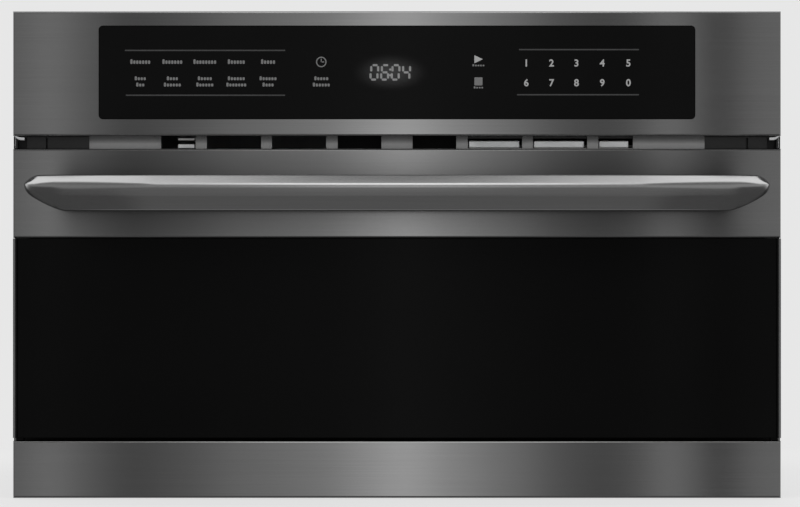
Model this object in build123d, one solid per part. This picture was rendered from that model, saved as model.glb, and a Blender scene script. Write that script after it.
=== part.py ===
from build123d import *
import math
import os

os.makedirs("parts", exist_ok=True)

# A built-in microwave oven with a drop-down door. Millimetres, +Z up, and the front faces -Y.
# The origin is at the middle of the whole oven's box, at the lower trim's bottom edge.

# The front: a stack of a trim, the door, the vent gap and the control fascia
front_width = 759.0
front_depth = 36.0
lower_trim_height = 56.3
door_gap = 3.0
door_height = 285.7
vent_gap = 12.8
fascia_height = 123.2
skin = 1.2
bend_radius = 2.0

# The handle stands this far in front of the door, and the body this far behind the cabinet's face
handle_reach = 48.0
body_depth = 470.0

# The sheet-metal body
body_width = 712.0
body_bottom = 24.0
body_top = 454.0
sheet = 1.0
hem = 12.0
foot_height = 6.0
gland_reach = 6.0

# The cooking cavity
cavity_width = 540.0
cavity_height = 214.0
cavity_depth = 394.0
cavity_floor = 100.0
cavity_wall = 0.8

# Room between pieces: a turning fit, a gap beside a moving piece, and a gap round a fitted piece
fit = 0.05
play = 0.3
seam = 0.4

# Places worked out from the sizes above
overall_depth = handle_reach + front_depth + body_depth
front_y = handle_reach - overall_depth / 2
cabinet_y = front_y + front_depth
plate_y = cabinet_y - sheet
back_y = cabinet_y + body_depth - gland_reach
half_width = front_width / 2
half_body = body_width / 2
door_z = lower_trim_height + door_gap
door_top = door_z + door_height
fascia_z = door_top + vent_gap
overall_height = fascia_z + fascia_height
cavity_top = cavity_floor + cavity_height
cavity_back = cabinet_y + cavity_depth
cavity_side = cavity_width / 2 + cavity_wall


def block(x, y, z):
    """A box between three pairs of low and high values."""
    size = [high - low for low, high in (x, y, z)]
    return Pos(x[0], y[0], z[0]) * Box(*size, align=Align.MIN)


def middle(span):
    """The value halfway along a span."""
    return (span[0] + span[1]) / 2


def facing(x, y, z, radius):
    """A plate that faces the room, with rounded corners, between three spans."""
    outline = RectangleRounded(x[1] - x[0], z[1] - z[0], radius)
    plane = Plane(origin=(middle(x), y[0], middle(z)), x_dir=(1, 0, 0), z_dir=(0, 1, 0))
    return plane * extrude(outline, y[1] - y[0])


def rod(radius, start, end):
    """A round rod from one point to another."""
    line = Vector(*end) - Vector(*start)
    plane = Plane(origin=start, z_dir=line)
    return plane * Cylinder(radius, line.length, align=(Align.CENTER, Align.CENTER, Align.MIN))


def cut_from_side(points, x):
    """A closed outline of (y, z) points, as thick as a span of x."""
    outline = make_face(Polyline(*[(x[0], y, z) for y, z in points], close=True))
    return extrude(outline, x[1] - x[0], dir=(1, 0, 0))


def both(piece):
    """The piece and its mirror image on the oven's other side."""
    return [piece, mirror(piece, about=Plane.YZ)]


def save(name, *pieces):
    """Writes the pieces' solids as one sub-part."""
    solids = [solid for piece in pieces for solid in piece.solids()]
    export_step(solids[0] if len(solids) == 1 else Compound(solids), f"parts/{name}.step")


# Control fascia: one folded steel tray, bent back all round, with a window for the glass
glass_width = 589.0
glass_height = 91.9
glass_rise = 16.8
glass_thickness = 3.2
glass_corner = 4.0
fascia_lip = 9.0
glass_x = (-glass_width / 2, glass_width / 2)
glass_z = (fascia_z + glass_rise, fascia_z + glass_rise + glass_height)
glass_back = front_y + glass_thickness


def grown(span, margin):
    """A span made longer by a margin at each end."""
    return (span[0] - margin, span[1] + margin)


def folded_front(z, depth):
    """A full-width steel front: a face with its four sides folded back."""
    shell = block((-half_width, half_width), (front_y, front_y + depth), z)
    front_edges = shell.faces().sort_by(Axis.Y)[0].edges()
    shell = fillet(front_edges, bend_radius)
    hollow = block((-half_width + skin, half_width - skin), (front_y + skin, front_y + depth), grown(z, -skin))
    return shell - hollow


fascia = folded_front((fascia_z, overall_height), front_depth - sheet)
fascia -= block(
    (-half_width + skin, half_width - skin), (front_y + fascia_lip, plate_y), (fascia_z, fascia_z + skin)
)
fascia -= facing(
    grown(glass_x, seam), (front_y, front_y + skin), grown(glass_z, seam), glass_corner + seam
)
save("control_fascia", fascia)

# Touch glass: flush in the window, its front edge ground to a small bevel
glass_bevel = 0.6
touch_glass = facing(glass_x, (front_y, glass_back), glass_z, glass_corner)
touch_glass = chamfer(touch_glass.faces().sort_by(Axis.Y)[0].edges(), glass_bevel)
save("touch_glass", touch_glass)

# Plastic housing behind the glass: a seat for the glass, and a box for the electronics
housing_margin = 8.0
housing_half = 150.0
housing_wall = 2.0
housing_depth = 15.0
display_width = 60.0
display_height = 30.0
display_place = -7.0
display_rise = 67.2
seat_back = glass_back + housing_wall
housing_back = seat_back + housing_depth
display_x = (display_place - display_width / 2, display_place + display_width / 2)
display_z = (
    fascia_z + display_rise - display_height / 2,
    fascia_z + display_rise + display_height / 2,
)
box_x = (-housing_half, housing_half)
box_z = grown(glass_z, -housing_margin)
housing = block(grown(glass_x, housing_margin), (front_y + skin, seat_back), grown(glass_z, housing_margin))
housing += block(box_x, (seat_back, housing_back), box_z)
housing -= block(grown(glass_x, seam), (front_y, glass_back), grown(glass_z, seam))
housing -= block(grown(box_x, -housing_wall), (seat_back, housing_back), grown(box_z, -housing_wall))
housing -= block(grown(display_x, seam), (glass_back, seat_back), grown(display_z, seam))
save("control_housing", housing)

# Display: a segment module that fills the housing's window and touches the glass
display_depth = 7.0
save("display_module", block(display_x, (glass_back, glass_back + display_depth), display_z))

# Control board: on the housing's back, with two relays, a transformer and a terminal block
board = 1.6
relay = (18.0, 10.0, 16.0)
relay_places = (-110.0, -78.0)
coil_size = (34.0, 11.0, 28.0)
coil_place = 96.0
terminal = (44.0, 9.0, 10.0)
board_z = middle(box_z)
control_board = block(box_x, (housing_back, housing_back + board), box_z)


def on_board(size, x, rise):
    """A component on the back of the control board."""
    return Pos(x, housing_back + board, board_z + rise) * Box(
        *size, align=(Align.CENTER, Align.MIN, Align.CENTER)
    )


for place in relay_places:
    control_board += on_board(relay, place, 0)
control_board += on_board(coil_size, coil_place, 0)
control_board += on_board(terminal, 0, terminal[2])
save("control_board", control_board)

# Front plate: the flat steel frame that the whole body hangs on and that screws to the cabinet.
# It has the cavity's mouth, the air openings, the latch slots and the four screw holes.
plate_inset = 3.5
plate_bottom = 6.0
plate_drop = 5.0
screw_edge = 7.0
screw_levels = (120.0, 300.0)
screw_hole = 2.5
air_rise = 2.4
air_height = 24.6
duct_x = (60.0, 242.0)
wiring_half = 300.0
wiring_rise = 24.2
wiring_height = 62.0
hook_x = (318.0, 322.0)
hook_depth = 12.0
hook_drop = 40.0
slot_side = 1.5
slot_low = 7.5
slot_height = 18.0
mouth_x = (-cavity_width / 2, cavity_width / 2)
mouth_z = (cavity_floor, cavity_top)
pivot_y = front_y + hook_depth
pivot_z = door_top - hook_drop
slot_z = (pivot_z - slot_low, pivot_z - slot_low + slot_height)
wiring_z = (fascia_z + wiring_rise, fascia_z + wiring_rise + wiring_height)
air_z = (door_top + air_rise, door_top + air_rise + air_height)
through = (plate_y, cabinet_y)
plate_half = half_width - plate_inset
screw_half = plate_half - screw_edge

front_plate = block((-plate_half, plate_half), through, (plate_bottom, overall_height - plate_drop))
front_plate -= block(mouth_x, through, mouth_z)
front_plate -= block((-wiring_half, wiring_half), through, wiring_z)
for opening in both(block(duct_x, through, air_z)) + both(block(grown(hook_x, slot_side), through, slot_z)):
    front_plate -= opening
for level in screw_levels:
    for x in (-screw_half, screw_half):
        front_plate -= rod(screw_hole, (x, plate_y, level), (x, cabinet_y, level))
save("front_plate", front_plate)

# Vent grille: an L-shaped steel strip set back under the fascia, with eight windows.
# The windows step out from a centre post, alike on both sides.
vent_half = 305.0
vent_recess = 10.0
vent_clear = 1.0
vent_rise = 14.0
vent_rail = 1.4
vent_post = 11.5
vent_start = 15.2
vent_windows = (41.5, 54.0, 51.5, 35.5)
vent_z = (door_top + vent_clear, fascia_z + vent_rise)
vent_y = (front_y + vent_recess, front_y + vent_recess + sheet)
grille = block((-vent_half, vent_half), vent_y, vent_z)
grille += block((-vent_half, vent_half), (vent_y[0], plate_y), (vent_z[0], vent_z[0] + sheet))
window_x = vent_start
window_z = (vent_z[0] + vent_rail, fascia_z + vent_rise / 2)
for window in vent_windows:
    for opening in both(block((window_x, window_x + window), vent_y, window_z)):
        grille -= opening
    window_x += window + vent_post
save("vent_grille", grille)

# End caps: black mouldings that close the gap beyond the grille, each with one rib
cap_wall = 2.0
cap_rib = 347.0
cap_x = (vent_half, half_width - skin - seam)
cap_y = (vent_y[0], plate_y)
cap_z = (vent_z[0], fascia_z - seam)
cap = block(cap_x, cap_y, cap_z)
cap -= block((cap_x[0] + cap_wall, cap_rib), (cap_y[0], cap_y[1] - cap_wall), grown(cap_z, -cap_wall))
cap -= block((cap_rib + cap_wall, cap_x[1] - cap_wall), (cap_y[0], cap_y[1] - cap_wall), grown(cap_z, -cap_wall))
save("vent_end_caps", *both(cap))

# Corner clips: small spring-steel clips, bent round the fascia's lower lip at each corner
clip_width = 9.0
clip_drop = 4.0
clip_x = (half_width - clip_width, half_width - skin)
clip_y = (front_y + skin, front_y + fascia_lip)
clip = block(clip_x, (clip_y[0], clip_y[0] + skin), (fascia_z - clip_drop, fascia_z))
clip += block(clip_x, clip_y, (fascia_z - skin, fascia_z))
clip += block((clip_x[1] - skin, clip_x[1]), clip_y, (fascia_z - clip_drop, fascia_z))
save("corner_clips", *both(clip))

# Exhaust duct: a bright sheet-metal channel from the magnetron to the three right windows,
# with a lip bent up at its mouth
duct_length = 150.0
duct_lip = 5.6
duct_y = (vent_y[1] + sheet, cabinet_y + duct_length)
duct_low = air_z[0] + seam
duct_out = (duct_x[0] + seam, duct_x[1] - seam)
duct_high = air_z[1] - seam
duct = block(duct_out, duct_y, (duct_low, duct_high))
duct -= block(grown(duct_out, -sheet), duct_y, (duct_low + sheet, duct_high - sheet))
duct += block(duct_out, (duct_y[0], duct_y[0] + sheet), (duct_low, duct_low + duct_lip))

# Vent bracket: a small channel behind the left outer window, with its two flanges to the front
bracket_x = (-216.4, -199.6)
bar_height = 3.8
bar_space = 3.0
bar_low = vent_z[0] + sheet
bar_top = bar_low + bar_height + bar_space
bracket_bars = ((bar_low, bar_low + bar_height), (bar_top, bar_top + 2 * sheet))
vent_bracket = block(bracket_x, (plate_y - sheet, plate_y), (bracket_bars[0][0], bracket_bars[1][1]))
for bar in bracket_bars:
    vent_bracket += block(bracket_x, (vent_y[1] + sheet, plate_y), bar)
save("vent_bracket", vent_bracket)

# Lower trim: a folded steel front, fixed, open at its top behind a narrow turned edge so that
# the door's lower edge can swing down behind it
trim_turn = 2.4
trim_side_top = 50.0
trim = folded_front((0, lower_trim_height), front_depth - sheet)
trim -= block(
    (-half_width, half_width), (front_y + trim_turn, plate_y), (trim_side_top, lower_trim_height)
)
save("lower_trim", trim)

# Trim brackets: two steel channels that tie the lower trim's face to the front plate
tie_place = 200.0
tie_width = 30.0
tie_z = (14.0, 44.0)
tie_x = (tie_place - tie_width / 2, tie_place + tie_width / 2)
tie_y = (front_y + skin, plate_y)
tie = block(tie_x, tie_y, tie_z) - block(grown(tie_x, -skin), grown(tie_y, -skin), tie_z)
save("trim_brackets", *both(tie))

# Door band: the steel skin across the door's top, folded back round the pan
band_height = 88.0
band_lip = 4.0
door_depth = 20.0
pan_back = front_y + door_depth
band_z = (door_top - band_height, door_top)
band = folded_front(band_z, pan_back - front_y)
band -= block(
    (-half_width + skin, half_width - skin),
    (front_y + band_lip, pan_back),
    (band_z[0], band_z[0] + skin),
)

# Door glass: black glass from the band down to the door's lower edge
door_glass_gap = 0.5
door_glass_thickness = 4.0
trim_strip = 4.2
pane_back = front_y + door_glass_thickness
pane_x = (-half_width + trim_strip + play, half_width - trim_strip - play)
pane_z = (door_z, band_z[0] - door_glass_gap)
pane = block(pane_x, (front_y, pane_back), pane_z)
pane = chamfer(pane.faces().sort_by(Axis.Y)[0].edges(), glass_bevel)
save("door_glass", pane)

# Door side trims: thin strips that guard the glass's side edges and wrap the pan
strip = block((half_width - trim_strip, half_width), (front_y, pane_back), pane_z)
strip += block((half_width - skin, half_width), (front_y, pan_back), pane_z)
save("door_side_trims", *both(strip))

# Hinges: a pin on a steel bracket at each side, low behind the glass
hinge_depth = 14.0
hinge_rise = 12.0
hinge_pin = 3.0
hinge_place = 326.0
barrel_half = 6.0
knuckle = 5.5
ear_gap = 3.0
ear_gauge = 3.0
ear_half = 7.0
notch_side = 6.0
notch_height = 28.7
foot_side = 14.0
foot_low = 8.7
foot_high = 18.7
foot_thickness = 2.0
pin_end = 2.0
hinge_y = front_y + hinge_depth
hinge_z = door_z + hinge_rise
barrel_x = (hinge_place - barrel_half, hinge_place + barrel_half)
ear_x = (barrel_x[1] + ear_gap, barrel_x[1] + ear_gap + ear_gauge)
notch_x = (barrel_x[0] - notch_side, ear_x[1] + notch_side)
notch_top = hinge_z + notch_height
ear = block(ear_x, (hinge_y - ear_half, plate_y - foot_thickness), (hinge_z - ear_half, hinge_z + ear_half))
ear += block(
    (barrel_x[0] - pin_end, ear_x[1] + foot_side),
    (plate_y - foot_thickness, plate_y),
    (hinge_z - foot_low, hinge_z + foot_high),
)
ear += rod(hinge_pin, (barrel_x[0] - pin_end, hinge_y, hinge_z), (ear_x[0], hinge_y, hinge_z))
save("hinge_brackets", *both(ear))

# Door pan: a steel box frame behind the glass and the band, with the window's opening
pan_gauge = 1.2
pan_flange = 14.0
pan_rise = 1.7
pan_x = (-half_width + skin, half_width - skin)
pan_y = (pane_back, pan_back)
pan_z = (door_z + pan_rise, door_top - skin)
view_half = 236.0
view_rise = 45.7
view_height = 195.0
hook_under = 4.0
hook_over = 5.5
view_x = (-view_half, view_half)
view_z = (door_z + view_rise, door_z + view_rise + view_height)
pan = block(pan_x, pan_y, pan_z)
pan -= block(
    grown(pan_x, -pan_gauge), (pan_y[0] + pan_gauge, pan_y[1] - pan_gauge), grown(pan_z, -pan_gauge)
)
pan -= block(grown(pan_x, -pan_flange), (pan_y[0], pan_y[0] + pan_gauge), grown(pan_z, -pan_flange))
pan -= block(view_x, pan_y, view_z)
carrier_slot_z = (pivot_z - hook_under, pivot_z + hook_over)
hook_slot = block(grown(hook_x, slot_side), (pan_back - 2 * pan_gauge, pan_back), carrier_slot_z)
for opening in both(block(notch_x, pan_y, (pan_z[0], notch_top))) + both(hook_slot):
    pan -= opening
save("door_frame", pan)

# Hinge leaves: a square knuckle that turns on the pin, and a tongue up inside the pan
leaf_thickness = 3.0
leaf_lap = 25.0
leaf_top = notch_top + leaf_lap
leaf_y = (pan_back - pan_gauge - leaf_thickness, pan_back - pan_gauge)
leaf = block(barrel_x, (hinge_y - knuckle, leaf_y[1]), (hinge_z - knuckle, hinge_z + knuckle))
leaf += block(barrel_x, leaf_y, (hinge_z, leaf_top))
leaf -= rod(hinge_pin + fit, (barrel_x[0], hinge_y, hinge_z), (barrel_x[1], hinge_y, hinge_z))
save("hinge_leaves", *both(leaf))

# Door screen: the inner steel panel. Its perforations fill the window's area, and a wall of slotted
# choke fins runs round it to hold the microwaves in.
choke_half = 306.0
choke_rise = 12.0
choke_drop = 3.0
choke_z = (door_z + choke_rise, door_top - choke_drop)
cover_wall = 1.5
cover_depth = 14.0
screen_gauge = 0.8
fin_inset = 16.0
fin_height = 10.0
fin_pitch = 60.0
fin_slot = 6.0
cover_back = pan_back + cover_depth
choke_x = (-choke_half, choke_half)
screen_x = grown(choke_x, -cover_wall - play)
screen_z = grown(choke_z, -cover_wall - play)
screen_y = (pan_back, pan_back + screen_gauge)
fin_x = grown(screen_x, -fin_inset)
fin_z = grown(screen_z, -fin_inset)
fin_y = (screen_y[1], screen_y[1] + fin_height)
fins = block(fin_x, fin_y, fin_z) - block(grown(fin_x, -screen_gauge), fin_y, grown(fin_z, -screen_gauge))


def slots(span):
    """Where the slots stand along a side: evenly spaced and centred on it."""
    length = span[1] - span[0] - fin_pitch
    count = max(2, round(length / fin_pitch))
    return [span[0] + fin_pitch / 2 + length * (number + 0.5) / count for number in range(count)]


cuts = [
    block((place - fin_slot / 2, place + fin_slot / 2), grown(fin_y, -fin_slot / 2), fin_z)
    for place in slots(fin_x)
]
cuts += [
    block(fin_x, grown(fin_y, -fin_slot / 2), (place - fin_slot / 2, place + fin_slot / 2))
    for place in slots(fin_z)
]
screen = block(screen_x, screen_y, screen_z) + (fins - cuts)
save("door_screen", screen)

# Choke cover: a black moulding over the fins, which leaves the window free
window_lap = 4.0
window_rim = 8.0
window_thickness = 2.0
cover = block(choke_x, (pan_back, cover_back), choke_z)
cover -= block(screen_x, (pan_back, cover_back - cover_wall), screen_z)
cover -= block(grown(view_x, -window_lap), (pan_back, cover_back), grown(view_z, -window_lap))
window_y = (cover_back - cover_wall - window_thickness, cover_back - cover_wall)
save("choke_cover", cover)

# Inner window: a clear plate against the cover's back
save("door_window", block(grown(view_x, window_rim), window_y, grown(view_z, window_rim)))

# Handle: a wide blade with a crease. Its top leans forward to the crease and its front falls back
# below it. The ends sweep in to the door, and their lower edge rises to the tip.
handle_inset = 11.5
handle_sweep = 132.0
handle_taper = 48.0
handle_nose = 14.0
handle_top = 26.0
handle_crease = 35.0
handle_bottom = 62.0
handle_gap = 30.0
foot_length = 34.0
tip_top = 32.5
tip_bottom = 38.5
tip_reach = 3.0
heel = 1.5
top_lean = 0.16
belly = (0.86, 0.45)
underside = (0.50, 0.08)
station_count = 7
handle_half = half_width - handle_inset
handle_straight = handle_half - handle_sweep
gap_sweep = handle_sweep - foot_length


def handle_section(x):
    """The blade's outline at one place along it, as a face."""
    sweep = max(0.0, (x - handle_straight) / handle_sweep)
    reach = tip_reach + (handle_reach - tip_reach) * math.sqrt(max(0.0, 1 - sweep**2))
    narrowing = max(0.0, 1 - ((x - handle_straight) / gap_sweep) ** 2) if x > handle_straight else 1.0
    inner = handle_gap * math.sqrt(narrowing)
    nose = max(0.0, (x - handle_half + handle_nose) / handle_nose)
    taper = max(0.0, (x - handle_half + handle_taper) / handle_taper)
    top = door_top - handle_top - (tip_top - handle_top) * nose**1.5
    crease = min(door_top - handle_crease, top - heel)
    bottom = door_top - handle_bottom + (handle_bottom - tip_bottom) * taper**1.7
    depth = reach - inner
    points = [
        (inner, top - heel),
        (inner + top_lean * depth, top),
        (reach, crease),
        (inner + belly[0] * depth, crease + belly[1] * (bottom - crease)),
        (inner + underside[0] * depth, bottom + underside[1] * (crease - bottom)),
        (inner + underside[0] / 2 * depth, bottom),
        (inner, bottom + heel),
    ]
    return make_face(Polyline(*[(x, front_y - out, z) for out, z in points], close=True))


bends = [math.sin(number * math.pi / 2 / (station_count - 1)) for number in range(station_count)]
bar = extrude(handle_section(handle_straight), handle_straight, dir=(-1, 0, 0))
end = loft([handle_section(handle_straight + handle_sweep * bend) for bend in bends], ruled=True)
half_handle = bar + end
handle = half_handle + mirror(half_handle, about=Plane.YZ)
screw_edge_x = 20.0
screw_drop = 43.0
screw_radius = 2.0
screw_depth = 6.0
screw_x = handle_half - screw_edge_x
screw_z = door_top - screw_drop
for x in (-screw_x, screw_x):
    handle -= rod(screw_radius, (x, front_y - screw_depth, screw_z), (x, front_y, screw_z))
save("handle", handle)

# Handle screws: one through the band into each end of the handle, from behind
head_radius = 4.5
head_height = 2.5
screw_start = front_y + skin
screw_tip = front_y - screw_depth
screw_shank = extrude(RegularPolygon(screw_radius - fit, 6), screw_start - screw_tip)
handle_screw = Plane(origin=(screw_x, screw_tip, screw_z), z_dir=(0, 1, 0)) * screw_shank
screw_head = extrude(RegularPolygon(head_radius, 6), head_height)
handle_screw += Plane(origin=(screw_x, screw_start, screw_z), z_dir=(0, 1, 0)) * screw_head
for x in (-screw_x, screw_x):
    band -= rod(screw_radius, (x, front_y, screw_z), (x, screw_start, screw_z))
save("door_band", band)
save("handle_screws", *both(handle_screw))

# Latch carriers: a steel channel in the pan at each side, with the pin that a hook turns on
carrier_gauge = 1.5
carrier_side = 4.0
carrier_depth = 12.0
carrier_low = 9.0
carrier_high = 10.0
pivot_pin = 2.0
carrier_back = pan_back - pan_gauge
carrier_x = grown(hook_x, carrier_side)
carrier_y = (carrier_back - carrier_depth, carrier_back)
carrier_z = (pivot_z - carrier_low, pivot_z + carrier_high)
carrier = block(carrier_x, carrier_y, carrier_z)
carrier -= block(grown(carrier_x, -carrier_gauge), (carrier_y[0], carrier_back - carrier_gauge), carrier_z)
carrier -= block(grown(hook_x, slot_side), carrier_y, carrier_slot_z)
pin_x = grown(carrier_x, -carrier_gauge)
carrier += rod(pivot_pin, (pin_x[0], pivot_y, pivot_z), (pin_x[1], pivot_y, pivot_z))
save("latch_carriers", *both(carrier))

# Latch hooks: flat hooks that reach back through the front plate, with a ramped nose
hook_length = 42.0
hook_half = 3.0
hook_root = 4.0
nose_length = 7.0
nose_drop = 4.0
hook_tip = pivot_y + hook_length
nose_low = pivot_z - hook_half - nose_drop
hook = cut_from_side(
    [
        (pivot_y - hook_root, pivot_z + hook_half),
        (hook_tip - nose_length, pivot_z + hook_half),
        (hook_tip, pivot_z),
        (hook_tip, pivot_z - hook_half),
        (hook_tip - nose_length / 2, nose_low),
        (hook_tip - nose_length, nose_low),
        (hook_tip - nose_length, pivot_z - hook_half),
        (pivot_y - hook_root, pivot_z - hook_half),
    ],
    hook_x,
)
hook -= rod(pivot_pin + fit, (hook_x[0], pivot_y, pivot_z), (hook_x[1], pivot_y, pivot_z))
right_hook, left_hook = both(hook)
save("latch_hook_right", right_hook)
save("latch_hook_left", left_hook)

# Interlock switches and their plungers, pressed by the hooks' tips
plunger_side = 1.0
plunger_x = grown(hook_x, plunger_side)
plunger_z = (pivot_z - hook_half, pivot_z)
plunger_travel = 1.5
plunger_length = 10.0
plunger_y = (hook_tip + play, hook_tip + play + plunger_length)
switch_depth = 16.0
switch_low = 10.0
switch_wall = 3.5
switch_front = plunger_y[0] + plunger_length / 2
switch_y = (switch_front, switch_front + switch_depth)
switch_z = (plunger_z[0] - switch_low, plunger_z[1] + switch_wall)
switch = block(grown(plunger_x, switch_wall), switch_y, switch_z)
switch -= block(
    grown(plunger_x, play), (switch_front, plunger_y[1] + plunger_travel + play), grown(plunger_z, play)
)
save("interlock_switches", *both(switch))
right_plunger, left_plunger = both(block(plunger_x, plunger_y, plunger_z))
save("switch_plunger_right", right_plunger)
save("switch_plunger_left", left_plunger)

# Latch housings: black boxes on the front plate's back that hold the switches
latch_wall = 2.0
latch_side = 9.0
latch_x = grown(plunger_x, latch_side)
latch_y = (cabinet_y, switch_y[1] + latch_wall)
latch_z = (switch_z[0] - latch_wall, slot_z[1] + latch_side)
latch_box = block(latch_x, latch_y, latch_z)
latch_box -= block(grown(latch_x, -latch_wall), (cabinet_y, switch_y[1]), grown(latch_z, -latch_wall))
save("latch_housings", *both(latch_box))

# Cavity wrapper: the oven's floor, walls and ceiling, bent from one sheet.
# It has the drive's hole, the microwaves' port and the lamp's window.
middle_y = middle((cabinet_y, cavity_back))
drive_hole = 8.0
port_x = (35.0, 75.0)
port_half = 30.0
lamp_place = 120.0
lamp_length = 44.0
lamp_rise = 130.0
lamp_height = 24.0
port_y = (middle_y - port_half, middle_y + port_half)
lamp_y = (cabinet_y + lamp_place, cabinet_y + lamp_place + lamp_length)
lamp_z = (cavity_floor + lamp_rise, cavity_floor + lamp_rise + lamp_height)
cavity_y = (cabinet_y, cavity_back)
outer_z = grown(mouth_z, cavity_wall)
wrapper = block(grown(mouth_x, cavity_wall), cavity_y, outer_z)
wrapper -= block(mouth_x, cavity_y, mouth_z)
wrapper -= rod(drive_hole, (0, middle_y, outer_z[0]), (0, middle_y, cavity_floor))
wrapper -= block(port_x, port_y, (cavity_top, outer_z[1]))
wrapper -= block((-cavity_side, mouth_x[0]), lamp_y, lamp_z)
save("cavity_wrapper", wrapper)

# Cavity rear wall: a pan welded over the wrapper's back
rear_rim = 6.0
rear_wall = block(grown(mouth_x, rear_rim), (cavity_back, cavity_back + cavity_wall), grown(mouth_z, rear_rim))
save("cavity_rear_wall", rear_wall)

# Sheet-metal body: base, sides, top and back, with hems that the screws go into
body_x = (-half_body, half_body)
body_y = (cabinet_y, back_y)
side_z = (body_bottom + sheet, body_top - sheet)
side_x = (half_body - sheet, half_body)
hem_x = (half_body - 2 * sheet, half_body - sheet)
back_sheet = (back_y - sheet, back_y)
hem_y = (cabinet_y, back_y - 2 * sheet)
panel_head = 4.2
panel_head_height = 2.4
screw_inset = 60.0
side_screws = [
    (y, z)
    for y in (body_y[0] + screw_inset, body_y[1] - screw_inset)
    for z in (side_z[0] + hem / 2, side_z[1] - hem / 2)
]
back_screws = [(half_body - sheet - hem / 2, z) for z in (side_z[0] + screw_inset, side_z[1] - screw_inset)]
louvre = (60.0, 4.0)
louvre_pitch = 9.0
louvre_count = 6
louvre_rise = 66.0

base = block(body_x, body_y, (body_bottom, side_z[0]))
top = block(body_x, body_y, (side_z[1], body_top))
for side in both(block(hem_x, hem_y, (side_z[0], side_z[0] + hem))):
    base += side
for side in both(block(hem_x, hem_y, (side_z[1] - hem, side_z[1]))):
    top += side
side = block(side_x, body_y, side_z)
side += block((side_x[0] - hem, side_x[0]), (back_sheet[0] - sheet, back_sheet[0]), side_z)
side -= block((hem_x[0] - hem, side_x[0]), hem_y, (side_z[0], side_z[0] + hem))
for number in range(louvre_count):
    low = side_z[0] + screw_inset + number * louvre_pitch
    side -= block(side_x, (back_y - 2 * louvre[0], back_y - louvre[0]), (low, low + louvre[1]))
sides = both(side)
back = block((-side_x[0], side_x[0]), back_sheet, side_z)
# The back has two groups of louvres and the cord's hole
gland_at = (-310.0, 80.0)
gland_half = 6.5
gland_hole = 9.4
gland_flange = 11.0
gland_bore = 4.6
louvre_groups = (-155.0, 125.0)
for group in louvre_groups:
    for number in range(louvre_count):
        low = cavity_top + louvre_rise + number * louvre_pitch
        back -= block((group - louvre[0] / 2, group + louvre[0] / 2), back_sheet, (low, low + louvre[1]))
gland_x = (gland_at[0] - gland_half, gland_at[0] + gland_half)
gland_z = (gland_at[1] - gland_half, gland_at[1] + gland_half)
back -= rod(gland_hole, (gland_at[0], back_sheet[0], gland_at[1]), (gland_at[0], back_y, gland_at[1]))
save("base_plate", base)
save("top_cover", top)
save("right_panel", sides[0])
save("left_panel", sides[1])
save("back_panel", back)


def panel_fixing(start, way):
    """The hexagon head of a sheet screw that holds a panel to the hem behind it."""
    hexagon = extrude(RegularPolygon(panel_head, 6), panel_head_height)
    return Plane(origin=start, z_dir=way) * hexagon


fixings = []
for y, z in side_screws:
    fixings += both(panel_fixing((half_body, y, z), (1, 0, 0)))
for x, z in back_screws:
    fixings += both(panel_fixing((x, back_y, z), (0, 1, 0)))
save("panel_screws", *fixings)

# Cord gland: a square bush through the back, with a six-sided flange outside and a nut inside
gland_nut = 5.0
gland_tail = 2.0
flange_start = (gland_at[0], back_y, gland_at[1])
nut_start = (gland_at[0], back_sheet[0] - gland_nut, gland_at[1])
bush_y = (nut_start[1] - gland_tail, back_y + gland_reach)
gland = block(gland_x, bush_y, gland_z)
for start, length in ((flange_start, gland_reach), (nut_start, gland_nut)):
    gland += Plane(origin=start, z_dir=(0, 1, 0)) * extrude(RegularPolygon(gland_flange, 6), length)
gland -= rod(gland_bore, (gland_at[0], bush_y[0], gland_at[1]), (gland_at[0], bush_y[1], gland_at[1]))
save("cord_gland", gland)

# Feet: four short rubber pads under the base
foot_place = 300.0
foot_inset = 60.0
foot_half = (15.0, 10.0)
foot_list = []
for y in (cabinet_y + foot_inset, back_y - foot_inset):
    foot_x = (foot_place - foot_half[0], foot_place + foot_half[0])
    foot_y = (y - foot_half[1], y + foot_half[1])
    foot_list += both(block(foot_x, foot_y, (body_bottom - foot_height, body_bottom)))
save("feet", *foot_list)

# Turntable motor: a flat synchronous motor under the cavity's floor
motor_radius = 24.5
motor_height = 16.0
motor_ears = 34.0
motor_gauge = 2.0
motor_ear = 9.0
shank_radius = 4.0
shank_depth = 9.0
floor_under = cavity_floor - cavity_wall
motor_top = floor_under - motor_gauge
motor = rod(motor_radius, (0, middle_y, motor_top - motor_height), (0, middle_y, motor_top))
ear_span = (middle_y - motor_ear, middle_y + motor_ear)
motor += block((-motor_ears, motor_ears), ear_span, (motor_top, floor_under))
motor -= rod(shank_radius + fit, (0, middle_y, motor_top - shank_depth - play), (0, middle_y, floor_under))
save("turntable_motor", motor)

# Roller guide: a moulded hub with three arms. Each arm ends in a six-sided pin, on which a roller
# turns by its eight-sided hole. The rollers run on the floor and carry the tray.
roller_radius = 8.0
roller_width = 8.0
roller_track = 99.0
roller_bore = 2.0
guide_hole = 24.0
guide_hub = 34.0
guide_height = 6.0
arm_width = 12.0
arm_gap = 2.0
pin_root = 1.0
pin_end = 2.0
axle_z = cavity_floor + play + roller_radius
tray_z = axle_z + roller_radius + play
wheel_in = roller_track - roller_width / 2
wheel_out = roller_track + roller_width / 2
arm_reach = wheel_in - arm_gap
guide_z = (axle_z - guide_height / 2, axle_z + guide_height / 2)
roller_angles = (90.0, 210.0, 330.0)


def spoke(angle, reach):
    """A point at axle height, this far from the turntable's centre."""
    turn = math.radians(angle)
    return (reach * math.cos(turn), middle_y + reach * math.sin(turn), axle_z)


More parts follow.
